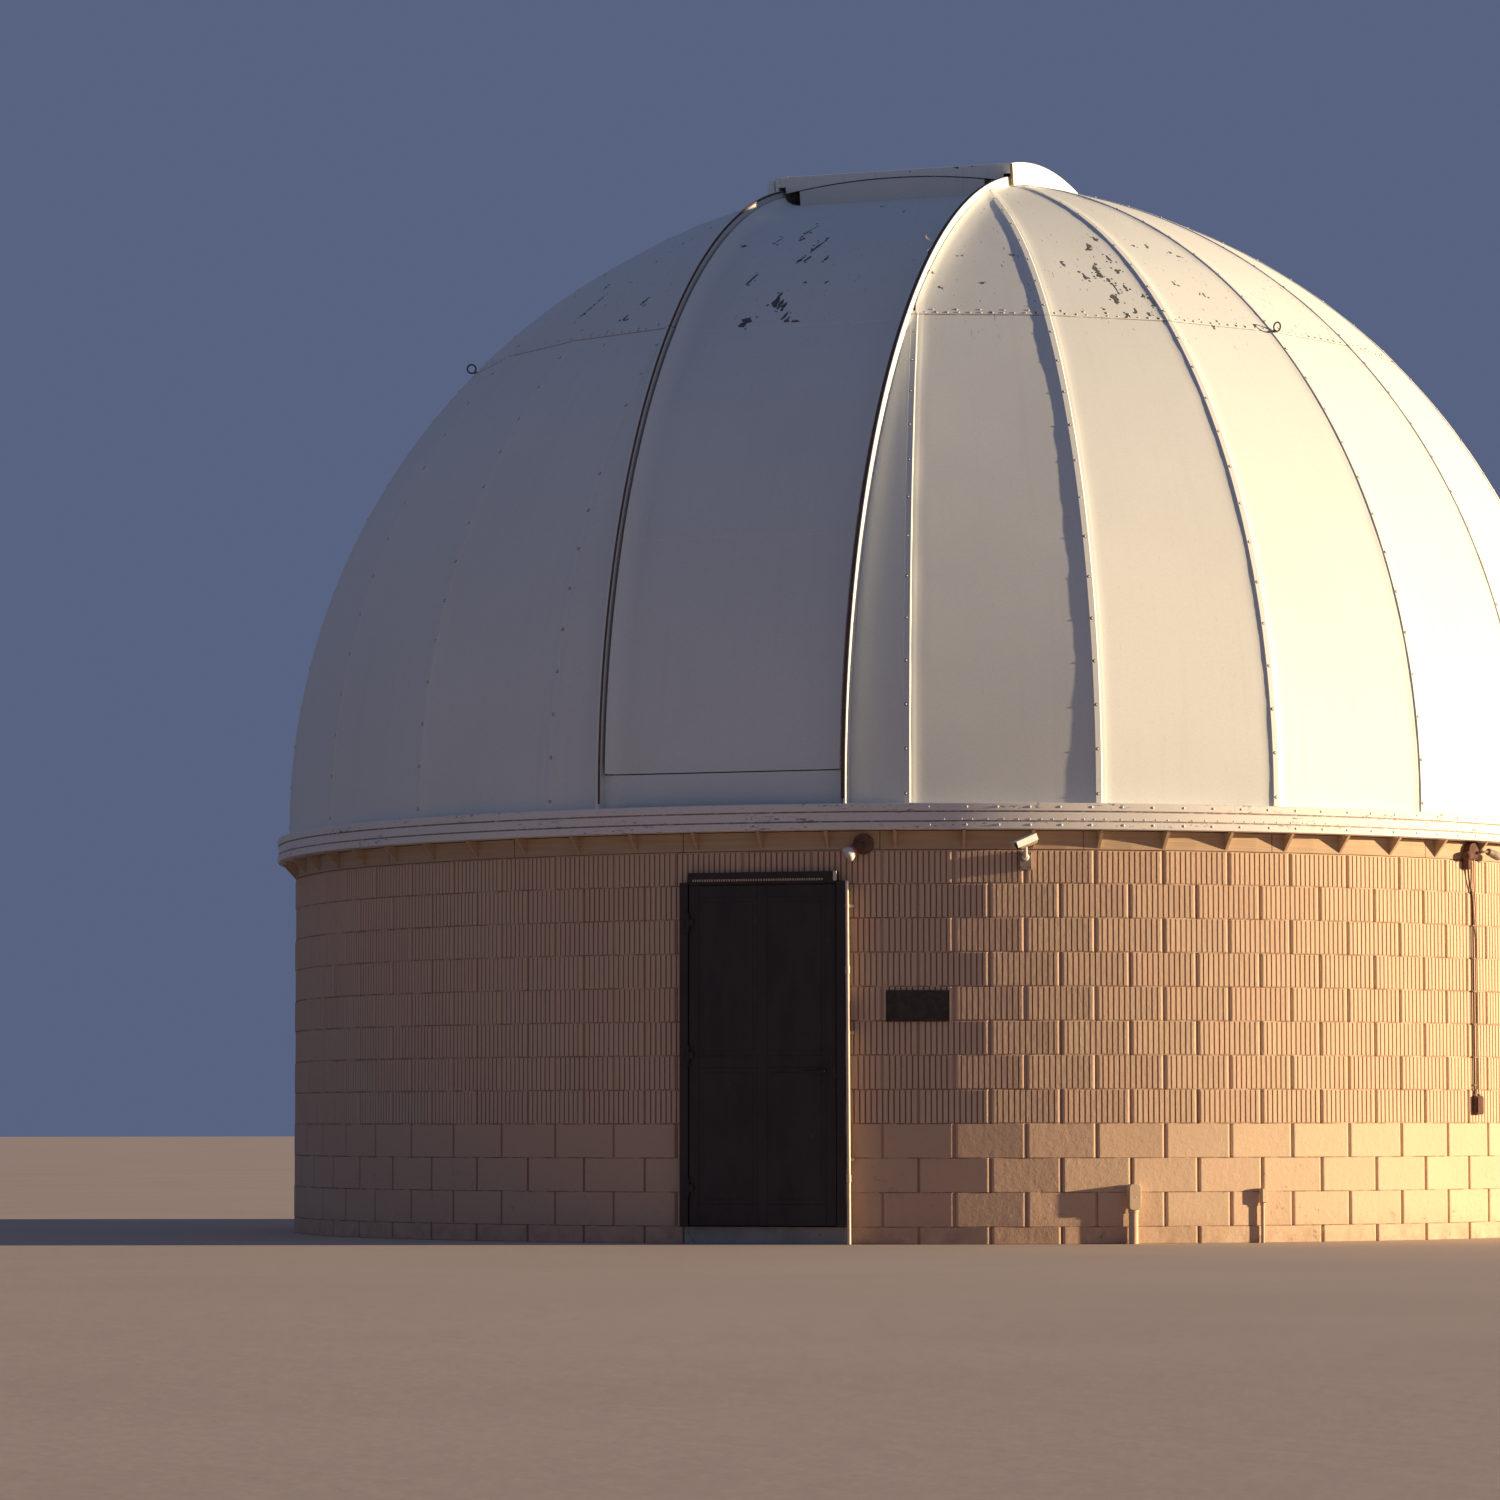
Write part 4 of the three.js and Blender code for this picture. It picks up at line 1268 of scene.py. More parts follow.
@dataclass
class DomeSkin:
    """Skin of the dome: gores straight between battens, a riveted overlap, peeled patches and eye loops."""

    radius: float = 4.379
    thickness: float = 0.014
    gore_angle: float = 15.0
    slit_half: float = 0.7955
    end_width: float = 0.014
    cove_height: float = 0.004
    cove_ends: Pair = (0.060, 0.026)
    fillet_height: float = 0.008
    fillet_width: float = 0.045
    fillet_start: Pair = (1.10, 1.32)
    rise_height: float = 0.018
    rise_width: float = 0.15
    rise_ends: Pair = (38.0, 58.0)
    lap_lift: float = 0.003
    lap_rivets: Profile = ((0.017, 0.070), (0.046, 0.150))
    wave: float = 0.0028
    seam_columns: tuple[float, ...] = (0.0, 0.022, 0.034, 0.047, 0.060, 0.095, 0.130)
    narrow: float = 0.36
    batten_half: float = 0.0238
    batten_crest: Pair = (-0.0195, 0.0135)
    batten_top: float = 0.0084
    batten_waver: float = 0.0020
    curb_run: float = 0.800
    hood_run_left: float = 0.905
    hood_run_right: float = 0.841
    hood_run_start: float = -1.06
    bolt_across: float = -0.007
    bolt_pitch: float = 0.267
    eye_azimuths: tuple[int, ...] = (60, 120, 240, 300)
    eye_elevation: float = 44.0
    eye_radius: float = 0.029
    eye_bar: float = 0.0055

    def reach(self, elevation: float) -> float:
        """Distance of a gore's middle line from the axis at an elevation."""
        return self.radius * math.cos(math.radians(elevation)) * math.cos(math.radians(self.gore_angle / 2))

    def half_width(self, elevation: float) -> float:
        """Half the width of a gore at an elevation."""
        return self.radius * math.cos(math.radians(elevation)) * math.sin(math.radians(self.gore_angle / 2))

    def sheet_point(self, gore: int, elevation: float, across: float, lift: float = 0.0) -> Vector:
        """Point of a gore's sheet, in the dome's frame, with the sheet's waves and the cove beside its seams.

        Args:
            gore: Number of the gore, 0 to 23.
            elevation: Angle above the dome's centre, in degrees.
            across: Distance from the gore's middle line.
            lift: Height above the sheet.

        Returns:
            The point.
        """
        rise = math.radians(elevation)
        level = polar(1.0, (gore + 0.5) * self.gore_angle, 0.0)
        tangent = Vector((-level.y, level.x, 0.0))
        outward = level * math.cos(rise) + Vector((0, 0, math.sin(rise)))
        inward = self.half_width(elevation) - abs(across)
        along = self.radius * rise
        wave = noise.noise(Vector((gore * 7.31 + across * 1.1, along * 2.3, 0.5)))
        wave += 0.5 * noise.noise(Vector((gore * 3.7 + across * 1.7, along * 5.1, 9.5)))
        calm = 1.0 - 0.72 * soft_step(inward, 0.10, 0.26)
        height = self.wave * wave * soft_step(inward, 0.015, 0.08) * calm
        height += self.cove_height * soft_step(inward, *self.cove_ends)
        if elevation > SEAM_ELEVATION:
            height += self.lap_lift
        spot = level * self.reach(elevation) + Vector((0, 0, self.radius * math.sin(rise))) + tangent * across
        fade = soft_step(-spot.y, *self.fillet_start)
        beside = abs(spot.x) - self.slit_half
        share = max(0.0, 1.0 - beside / self.fillet_width)
        height += self.fillet_height * share * share * fade
        share = max(0.0, 1.0 - beside / self.rise_width)
        height += self.rise_height * share * share * fade * soft_step(elevation, *self.rise_ends)
        return spot + outward * (height + lift)

    def limits(self, gore: int, elevation: float) -> Pair:
        """Ends of a gore's sheet, cut where the slit is.

        Args:
            gore: Number of the gore.
            elevation: Angle above the dome's centre, in degrees.

        Returns:
            Left and right end, as distances from the gore's middle line.
        """
        half = self.half_width(elevation)
        turn = math.radians((gore + 0.5) * self.gore_angle)
        side = 1.0 if gore < 12 else -1.0
        slope = side * math.cos(turn)
        cut = (self.slit_half - side * self.reach(elevation) * math.sin(turn)) / slope
        if slope > 0:
            return max(-half, cut), half
        return -half, min(half, cut)

    def rows(self, gore: int) -> list[float]:
        """Elevations of a sheet's rows, from the ring to where the slit ends it.

        Args:
            gore: Number of the gore.

        Returns:
            The elevations in degrees, lowest first.
        """
        foot = foot_elevation(self.radius)
        top = foot
        while top < 89.0:
            low, high = self.limits(gore, top + 0.1)
            if high - low < self.end_width:
                break
            top += 0.1
        rows = steps(foot, top, max(4, round((top - foot) / 1.05)))
        if top > SEAM_ELEVATION + 1.0:
            rows = [row for row in rows if abs(row - SEAM_ELEVATION) > 0.3]
            rows += [SEAM_ELEVATION, SEAM_ELEVATION + 0.03]
        return sorted(rows)

    def columns(self, low: float, high: float) -> list[float]:
        """Places across a sheet, closer together beside the seams.

        Args:
            low: Left end of the sheet.
            high: Right end of the sheet.

        Returns:
            The places, from left to right.
        """
        scale = min(1.0, (high - low) / self.narrow)
        *near, last = (scale * distance for distance in self.seam_columns)
        middle = steps(low + last, high - last, 6)
        return [low + d for d in near] + middle + [high - d for d in reversed(near)]

    def add_sheet(self, shape: Shape, gore: int) -> None:
        """Adds one gore's sheet.

        Args:
            shape: Takes the solids.
            gore: Number of the gore.
        """
        sections = []
        for elevation in self.rows(gore):
            across = self.columns(*self.limits(gore, elevation))
            outer = [self.sheet_point(gore, elevation, x) for x in across]
            inner = [self.sheet_point(gore, elevation, x, -self.thickness) for x in reversed(across)]
            sections.append(outer + inner)
        shape.loft(sections, strip_caps=True)

    def add_lap_rivets(self, shape: Shape, gore: int, chance: random.Random) -> None:
        """Adds the two rows of rivets over the overlap, with bare spots beside some.

        Args:
            shape: Takes the solids.
            gore: Number of the gore.
            chance: Source of the small differences.
        """
        for rise, pitch in self.lap_rivets:
            elevation = SEAM_ELEVATION + math.degrees(rise / self.radius)
            low, high = self.limits(gore, elevation)
            count = int((high - low - 0.10) / pitch)
            for i in range(count + 1):
                across = (low + high) / 2 + (i - count / 2) * pitch + chance.uniform(-0.004, 0.004)
                spot = self.sheet_point(gore, elevation, across)
                above = self.sheet_point(gore, elevation, across, 0.01)
                shape.stud(spot, above - spot, 0.0066, 0.0044, 8, 1)
                if chance.random() < 0.55:
                    azimuth = (gore + 0.5) * self.gore_angle + math.degrees(across / (self.radius * 0.717))
                    bare = Patch(azimuth - 0.13, elevation + 0.03, chance.uniform(0.012, 0.024), 0.011)
                    self.add_patch(shape, bare, chance)

    def batten_end(self, azimuth: float) -> float:
        """Elevation where a batten stops short of the curbs.

        Args:
            azimuth: Azimuth of the batten in the dome's frame.

        Returns:
            The elevation in degrees.
        """
        side, run = (1.0, self.hood_run_right) if azimuth < 180 else (-1.0, self.hood_run_left)
        elevation = 0.0
        while elevation < 89.0:
            spot = polar(self.radius * math.cos(math.radians(elevation + 0.1)), azimuth, 0.0)
            limit = (run if spot.y > self.hood_run_start else self.curb_run) + 0.5 * self.batten_half
            if side * spot.x < limit:
                break
            elevation += 0.1
        return elevation

    def add_batten(self, shape: Shape, azimuth: float) -> None:
        """Adds the batten over a seam: a flat, slightly wavy strip with a sloping right flank, and its bolts.

        Args:
            shape: Takes the solids.
            azimuth: Azimuth of the seam in the dome's frame.
        """
        half, top = self.batten_half, self.batten_top
        left, right = self.batten_crest
        outline = ((-half, -0.012), (-half, 0.003), (left, top), (right, top), (half, 0.0005), (half, -0.012))
        foot = foot_elevation(self.radius) + 0.06
        end = self.batten_end(azimuth)
        turn = Matrix.Rotation(math.radians(azimuth), 4, "Z")
        sections = []
        for elevation in steps(foot, end, max(4, round((end - foot) / 0.9))):
            lift = self.lap_lift * soft_step(elevation, SEAM_ELEVATION - 0.5, SEAM_ELEVATION + 0.5)
            waver = self.batten_waver * noise.noise(Vector((azimuth * 1.37, elevation * 0.55, 2.2)))
            raised = [(x, r + lift + (waver if r > 0.0 else 0.0)) for x, r in outline]
            sections.append([turn @ slit_point(x, self.radius + r, 90.0 - elevation) for x, r in raised])
        shape.loft(sections)
        pitch = math.degrees(self.bolt_pitch / self.radius)
        for i in range(int((end - foot - 1.2) / pitch) + 1):
            elevation = foot + 0.7 + i * pitch
            lift = self.lap_lift if elevation > SEAM_ELEVATION else 0.0
            spot = turn @ slit_point(self.bolt_across, self.radius + top + lift, 90.0 - elevation)
            outward = turn @ slit_point(0.0, 1.0, 90.0 - elevation)
            shape.stud(spot, outward, 0.0110, 0.0010, 8, 2)
            shape.stud(spot, outward, 0.0066, 0.0046, 8, 1)

    def add_patch(self, shape: Shape, patch: Patch, chance: random.Random) -> None:
        """Adds a peeled patch, placed by azimuth and elevation.

        Args:
            shape: Takes the solids.
            patch: The patch.
            chance: Source of its ragged edge.
        """
        gore = int(patch.first // self.gore_angle)
        centre = (gore + 0.5) * self.gore_angle
        middle = self.reach(patch.second) * math.tan(math.radians(patch.first - centre))

        def spot(across: float, along: float, lift: float) -> Vector:
            """Point of the sheet beside the patch's middle."""
            elevation = patch.second + math.degrees(along / self.radius)
            return self.sheet_point(gore, elevation, middle + across, lift)

        shape.flake(patch_outline(patch, chance), 0.0014, spot)

    def add_crumbs(self, shape: Shape, patch: Patch, chance: random.Random) -> None:
        """Adds the small bare spots round a patch, as far as they lie on the same gore's open sheet.

        Args:
            shape: Takes the solids.
            patch: The patch.
            chance: Source of their places and sizes.
        """
        around = math.degrees(1.0 / (self.radius * math.cos(math.radians(patch.second))))
        for crumb in crumbs(patch, around, math.degrees(1.0 / self.radius), chance):
            if 0.7 < crumb.first % self.gore_angle < self.gore_angle - 0.7:
                self.add_patch(shape, crumb, chance)

    def add_eye(self, shape: Shape, azimuth: float) -> None:
        """Adds an eye loop that stands on a batten.

        Args:
            shape: Takes the solids.
            azimuth: Azimuth of the batten in the dome's frame.
        """
        place = Matrix.Rotation(math.radians(azimuth), 4, "Z") @ tilted(90.0 - self.eye_elevation)
        base = self.radius + self.batten_top
        centre = base + self.eye_radius + 0.012
        shape.spin([(0.014, base - 0.003), (0.014, base + 0.004), (0.009, base + 0.006)], place, 6, 2)
        shape.spin([(0.006, base), (0.006, centre - self.eye_radius)], place, 10, 2)
        sections = []
        for turn in circle(28):
            direction = Vector((0.0, math.cos(turn), math.sin(turn)))
            middle = Vector((0.0, 0.0, centre)) + direction * self.eye_radius
            loop = []
            for around in circle(8):
                offset = direction * math.cos(around) + Vector((1.0, 0.0, 0.0)) * math.sin(around)
                loop.append(place @ (middle + offset * self.eye_bar))
            sections.append(loop)
        shape.loft(sections, 2, closed=True)

    def build(self) -> None:
        """Makes the twelve panels of two gores each."""
        chance = random.Random(23)
        sides = ("front", "middle_front", "side_front", "side_rear", "middle_rear", "rear")
        for panel in range(12):
            name = f"right_{sides[panel]}" if panel < 6 else f"left_{sides[11 - panel]}"
            shape = Shape()
            for gore in (2 * panel, 2 * panel + 1):
                self.add_sheet(shape, gore)
                low, high = self.limits(gore, SEAM_ELEVATION)
                if high - low > 0.2:
                    self.add_lap_rivets(shape, gore, chance)
                azimuth = gore * self.gore_angle
                if azimuth % 180.0:
                    self.add_batten(shape, azimuth)
                if azimuth in self.eye_azimuths:
                    self.add_eye(shape, azimuth)
                for patch in SKIN_PATCHES:
                    if azimuth <= patch.first < azimuth + self.gore_angle:
                        self.add_patch(shape, patch, chance)
                        self.add_crumbs(shape, patch, chance)
            finishes = ["skin_paint", "bolt_paint", "bare_patch"]
            shape.dome_piece(f"skin_{name}", Body.DOME, Slot.DOME_SKIN, finishes, [f"dome_skin_{name}"])


@dataclass
class SlitFrame:
    """Curbs on both sides of the slit with their seals and rails, the channel behind it and the sill."""

    inner: float = 0.777
    outer: float = 0.795
    top: float = 4.371
    bottom: float = 4.190
    rail_inner: float = 0.700
    rail_top: float = 4.2295
    seal_left: Pair = (0.7785, 0.7690)
    seal_right: Pair = (0.7868, 0.7635)
    screw_start: float = 24.0
    screw_pitch: float = 3.6
    screw_radius: float = 4.352
    channel_half: float = 0.6995
    channel_top: float = 4.215
    channel_bottom: float = 4.185
    channel_start: float = -20.0
    channel_laps: Pair = (-44.0, -66.0)

    def build(self) -> None:
        """Makes both curbs and the channel, and dresses the sill."""
        foot = 90.0 - foot_elevation(self.bottom)
        for side in Side:
            self._curb(side, foot)
        self._channel(foot)
        dress("slit_sill", "shutter_paint")

    def _curb(self, side: Side, foot: float) -> None:
        """Makes one curb with its rail, its seal and the screws in front of the upper shutter's run.

        Args:
            side: Side of the slit.
            foot: Angle of the curb's lower ends from the zenith.
        """
        sign = side.value
        rail, top = self.rail_top, self.top
        outline = [
            (self.rail_inner, self.bottom), (self.rail_inner, rail - 0.002), (self.rail_inner + 0.002, rail),
            (self.inner, rail), (self.inner, top - 0.006), (self.inner + 0.003, top),
            (self.outer - 0.003, top), (self.outer, top - 0.004), (self.outer, self.bottom),
        ]
        shape = Shape()
        shape.bend([(sign * x, r) for x, r in outline], steps(-foot, foot, 110))
        rest, lip = self.seal_left if side is Side.LEFT else self.seal_right
        seal = [
            (lip, top - 0.0105), (lip + 0.001, top - 0.0025), (lip + 0.004, top + 0.0006),
            (rest, top + 0.0006), (rest, top - 0.0045), (self.inner - 0.001, top - 0.0105),
        ]
        shape.bend([(sign * x, r) for x, r in seal], steps(-foot + 0.4, foot - 0.4, 110), 1)
        angle = self.screw_start
        while angle < foot - 2.0:
            spot = slit_point(sign * (self.outer + 0.0015), self.screw_radius, angle)
            shape.stud(spot, Vector((sign, 0.0, 0.0)), 0.0045, 0.0028, 6, 2)
            angle += self.screw_pitch
        word = side.name.lower()
        finishes = ["skin_paint", "seal_rubber", "bolt_paint"]
        shape.dome_piece(f"curb_{word}", Body.DOME, Slot.SHUTTER, finishes, [f"slit_curb_{word}"])

    def _channel(self, foot: float) -> None:
        """Makes the fixed cover behind the slit, with the rivets of its cross laps.

        Args:
            foot: Angle of its lower end from the zenith.
        """
        half, top, bottom = self.channel_half, self.channel_top, self.channel_bottom
        columns = steps(-half, half, 14)

        def upper(x: float, angle: float) -> Vector:
            """Point of the upper face, with its waves."""
            wave = noise.noise(Vector((x * 1.8, angle * 0.22, 3.3))) * 0.004 - 0.004
            return slit_point(x, top + wave * soft_step(half - abs(x), 0.0, 0.1), angle)

        sections = []
        for angle in steps(-foot, self.channel_start, 64):
            lower = [slit_point(x, bottom, angle) for x in reversed(columns)]
            sections.append([upper(x, angle) for x in columns] + lower)
        shape = Shape()
        shape.loft(sections, strip_caps=True)
        for lap in self.channel_laps:
            for x in steps(-half + 0.04, half - 0.04, 16):
                shape.stud(upper(x, lap), slit_point(0.0, 1.0, lap), 0.0052, 0.003, 8, 1)
        finishes = ["skin_paint", "bolt_paint"]
        shape.dome_piece("rear_cover", Body.DOME, Slot.DOME_SKIN, finishes, ["rear_channel"])


@dataclass
class LowerShutter:
    """Lower shutter: a tray of sheet with turned-up edges, two seams, peeled patches and a closure plate."""

    outer: float = 4.264
    inner: float = 4.234
    half: float = 0.740
    top_angle: float = 13.0
    bottom_angle: float = 88.0
    seams: Pair = (44.9, 68.0)
    lap_steps: Pair = (0.003, 0.002)
    rivet_rows: tuple[tuple[float, int], ...] = ((0.30, 16), (0.68, 8))
    closure_half: float = 0.642
    closure_top: float = 4.409
    plate: float = 0.020
    wave: float = 0.006
    edge_start: float = 0.655
    edge_end: float = 0.756
    edge_top: float = 4.338
    edge_columns: tuple[float, ...] = (0.655, 0.675, 0.695, 0.712, 0.727, 0.739, 0.748, 0.754)
    guide_angles: tuple[float, ...] = (20.0, 50.0, 85.0)
    guide_width: float = 0.034

    def surface(self, across: float, angle: float) -> float:
        """Radius of the tray's outer face, with its waves, laps and turned-up edges.

        Args:
            across: Distance from the middle line.
            angle: Angle from the zenith in degrees.

        Returns:
            The radius.
        """
        wave = noise.noise(Vector((across * 1.5 + 4.0, angle * 0.16, 1.7)))
        wave += 0.4 * noise.noise(Vector((across * 2.5, angle * 0.4, 6.1)))
        inward = self.half - abs(across)
        radius = self.outer + self.wave * wave * soft_step(inward, 0.03, 0.16) * soft_step(angle, 13.5, 18.0)
        for seam, lap in zip(self.seams, self.lap_steps):
            if angle < seam:
                radius += lap
        curve = max(0.0, abs(across) - self.edge_start) / (self.edge_end - self.edge_start)
        return radius + (self.edge_top - self.outer) * (1.0 - math.sqrt(max(0.0, 1.0 - curve * curve))) * 0.96

    def build(self) -> None:
        """Makes the shutter."""
        shape = Shape()
        edge = list(self.edge_columns)
        across = [-x for x in reversed(edge)] + steps(-0.55, 0.55, 8) + edge
        angles = steps(self.top_angle, self.bottom_angle, 76)
        angles = [angle for angle in angles if min(abs(angle - seam) for seam in self.seams) > 0.3]
        for seam in self.seams:
            angles += [seam - 0.03, seam]
        sections = []
        for angle in sorted(angles):
            outer = [slit_point(x, self.surface(x, angle), angle) for x in across]
            inner = [slit_point(x, self._underside(x, angle), angle) for x in reversed(across)]
            sections.append(outer + inner)
        shape.loft(sections, strip_caps=True)
        self._closure(shape)
        for angle in self.guide_angles:
            for sign in (-1, 1):
                x0, x1 = sorted((sign * self.half, sign * (self.half - self.guide_width)))
                shape.block((x0, -0.03, 4.2299), (x1, 0.03, 4.2445), 0.002, tilted(angle), 1)
        for seam in self.seams:
            for drop, count in self.rivet_rows:
                for x in steps(-0.62, 0.62, count):
                    spot = slit_point(x, self.surface(x, seam - drop), seam - drop)
                    shape.stud(spot, slit_point(0.0, 1.0, seam - drop), 0.0045, 0.0022, 8, 1)
        chance = random.Random(31)
        for patch in SHUTTER_PATCHES:
            self._patch(shape, patch, chance)
            for crumb in crumbs(patch, 1.0, math.degrees(1.0 / self.outer), chance)[::3]:
                self._patch(shape, crumb, chance)
        finishes = ["shutter_paint", "bolt_paint", "bare_patch"]
        shape.dome_piece("lower_shutter_tray", Body.LOWER_SHUTTER, Slot.SHUTTER, finishes, ["lower_shutter"])

    def _underside(self, across: float, angle: float) -> float:
        """Radius of the tray's underside."""
        raised = self.surface(across, angle) - 0.006
        return self.inner + (raised - self.inner) * soft_step(abs(across), 0.70, 0.745)

    def _closure(self, shape: Shape) -> None:
        """Adds the closure plate at the upper end, with a turned edge.

        Args:
            shape: Takes the solids.
        """
        forward = slit_point(0.0, 1.0, self.top_angle + 90.0)
        wide = self.closure_half
        for half, back, front in ((wide, 0.0, self.plate), (wide - 0.012, -0.035, 0.0)):
            across = steps(-half, half, 16)
            top = [slit_point(x, math.sqrt(self.closure_top**2 - x * x), self.top_angle) for x in across]
            low = [slit_point(x, self.inner + 0.008, self.top_angle) for x in reversed(across)]
            loops = [[point + forward * offset for point in top + low] for offset in (back, front)]
            shape.loft(loops, strip_caps=True)

    def _patch(self, shape: Shape, patch: Patch, chance: random.Random) -> None:
        """Adds a peeled patch, placed by its distance across and its angle from the zenith.

        Args:
            shape: Takes the solids.
            patch: The patch.
            chance: Source of its ragged edge.
        """
        def spot(across: float, along: float, lift: float) -> Vector:
            """Point of the tray beside the patch's middle."""
            x, angle = patch.first + across, patch.second - math.degrees(along / self.outer)
            return slit_point(x, self.surface(x, angle) + lift, angle)

        shape.flake(patch_outline(patch, chance), 0.0015, spot)


@dataclass
class UpperShutter:
    """Upper shutter: a hood with skirts, arched end plates and a stepped side channel on its left."""

    roof_top: float = 4.4594
    roof_bottom: float = 4.435
    half: float = 0.828
    skirt_inner: float = 0.810
    skirt_bottom: float = 4.310
    front: float = 12.5
    rear: float = -24.0
    plate_half: float = 0.758
    plate_edge: float = 4.416
    side_edge: float = 4.393
    plate: float = 0.020
    channel: Pair = (-0.892, -0.846)
    channel_heights: Pair = (4.352, 4.440)
    web: Pair = (-0.8475, -0.827)
    web_heights: Pair = (4.358, 4.378)
    guide_angles: Pair = (-20.0, 10.0)
    guide: Pair = (0.778, 0.794)
    rivet_pitch: float = 2.2
    chips: tuple[tuple[float, ...], ...] = (
        (0.44, 4.452, 0.040, 0.009), (0.55, 4.455, 0.022, 0.006), (0.12, 4.446, 0.014, 0.006),
    )

    def build(self) -> None:
        """Makes the shutter."""
        shape = Shape()
        half, top, inner, bottom = self.half, self.roof_top, self.skirt_inner, self.skirt_bottom
        outline = [(-half, bottom), (-half, top - 0.006)]
        outline += [(x, top) for x in steps(-half + 0.006, half - 0.006, 10)]
        outline += [(half, top - 0.006), (half, bottom), (inner, bottom)]
        outline += [(x, self.roof_bottom) for x in reversed(steps(-inner, inner, 10))]
        outline += [(-inner, bottom)]
        shape.bend(outline, steps(self.rear, self.front, 26))
        self._end_plate(shape, self.front - math.degrees(self.plate / top))
        self._end_plate(shape, self.rear)
        edge = 0.002
        for (x0, x1), (r0, r1), setback in (
            (self.channel, self.channel_heights, 0.3), (self.web, self.web_heights, 3.0),
        ):
            section = (
                (x0, r0 + edge), (x0, r1 - edge), (x0 + edge, r1), (x1 - edge, r1),
                (x1, r1 - edge), (x1, r0 + edge), (x1 - edge, r0), (x0 + edge, r0),
            )
            shape.bend(section, steps(self.rear, self.front - setback, 26))
        self._fastenings(shape)
        low, high = (inner, -0.001, bottom + 0.002), (half, 0.002, top - 0.006)
        shape.block(low, high, 0.0004, tilted(self.front), 3)
        finishes = ["hood_paint", "bolt_paint", "bare_patch", "ochre_edge"]
        shape.dome_piece("upper_shutter_hood", Body.UPPER_SHUTTER, Slot.SHUTTER, finishes, ["upper_shutter"])

    def _end_plate(self, shape: Shape, angle: float) -> None:
        """Adds an end plate whose lower edge is arched like the dome, and its two ends beside the curbs.

        Args:
            shape: Takes the solids.
            angle: Angle of its rear face from the zenith.
        """
        roof, half, outer = self.roof_bottom + 0.004, self.plate_half, self.skirt_inner + 0.001
        across = steps(-half, half, 20)
        low = [(x, math.sqrt(self.plate_edge**2 - x * x)) for x in across]
        outlines = [low + [(x, roof) for x in reversed(across)]]
        for sign in (-1, 1):
            near, far = sign * (half + 0.0005), sign * outer
            outlines.append([(near, self.side_edge), (far, self.side_edge), (far, roof), (near, roof)])
        forward = slit_point(0.0, 1.0, angle + 90.0)
        for outline in outlines:
            points = [slit_point(x, r, angle) for x, r in outline]
            loops = [[point + forward * offset for point in points] for offset in (0.0, self.plate - 0.0015)]
            shape.loft(loops, strip_caps=len(outline) > 4)

    def _fastenings(self, shape: Shape) -> None:
        """Adds the guide blocks, the rivets of the skirts and roof, and a few peeled spots.

        Args:
            shape: Takes the solids.
        """
        for angle in self.guide_angles:
            for sign in (-1, 1):
                x0, x1 = sorted(sign * x for x in self.guide)
                shape.block((x0, -0.03, 4.3735), (x1, 0.03, 4.4365), 0.002, tilted(angle), 1)
        angle = self.rear + 1.2
        while angle < self.front - 0.8:
            for sign in (-1, 1):
                spot = slit_point(sign * self.half, self.roof_top - 0.022, angle)
                if sign > 0:
                    shape.stud(spot, Vector((sign, 0.0, 0.0)), 0.0048, 0.003, 8, 1)
                spot = slit_point(sign * (self.half - 0.03), self.roof_top, angle)
                shape.stud(spot, slit_point(0.0, 1.0, angle), 0.0048, 0.003, 8, 1)
            angle += self.rivet_pitch
        chance = random.Random(5)
        forward = slit_point(0.0, 1.0, self.front + 90.0)
        for x, r, long, tall in self.chips:
            outline = [(x + a, r + b) for a, b in patch_outline(Patch(0, 0, long, tall, 80), chance)]
            shape.flake(outline, 0.001, lambda a, b, lift: slit_point(a, b, self.front) + forward * lift)


class Fixture(Shape):
    """Solids of a fixture, in a frame whose X runs across the wall and whose -Y points outward."""

    def __init__(self, azimuth: float) -> None:
        """Starts with nothing at an azimuth."""
        super().__init__()
        self.frame = Matrix.Rotation(math.radians(azimuth), 4, "Z")

    def at(self, spot: Triple) -> Vector:
        """A spot of the fixture's frame on the part."""
        return self.frame @ Vector(spot)

    def box(self, low: Triple, high: Triple, bevel: float, finish: int = 0) -> None:
        """A box with bevelled edges between two corners of the fixture's frame."""
        self.block(low, high, bevel, self.frame, finish)

    def disc(self, spot: Triple, profile: Profile, sides: int, finish: int = 0) -> None:
        """A profile turned round an axis that points outward from a spot."""
        self.spin(profile, self.frame @ facing(Vector(spot), Vector((0, -1, 0))), sides, finish)

    def screw(self, spot: Triple, radius: float, height: float, sides: int = 8, finish: int = 0) -> None:
        """A screw head that faces outward."""
        self.stud(self.at(spot), self.at((0, -1, 0)), radius, height, sides, finish)

    def bar(self, path: Iterable[Triple], radius: float, sides: int = 14, finish: int = 0) -> None:
        """A round bar along a path of the fixture's frame."""
        self.tube([self.at(spot) for spot in path], radius, sides, finish)


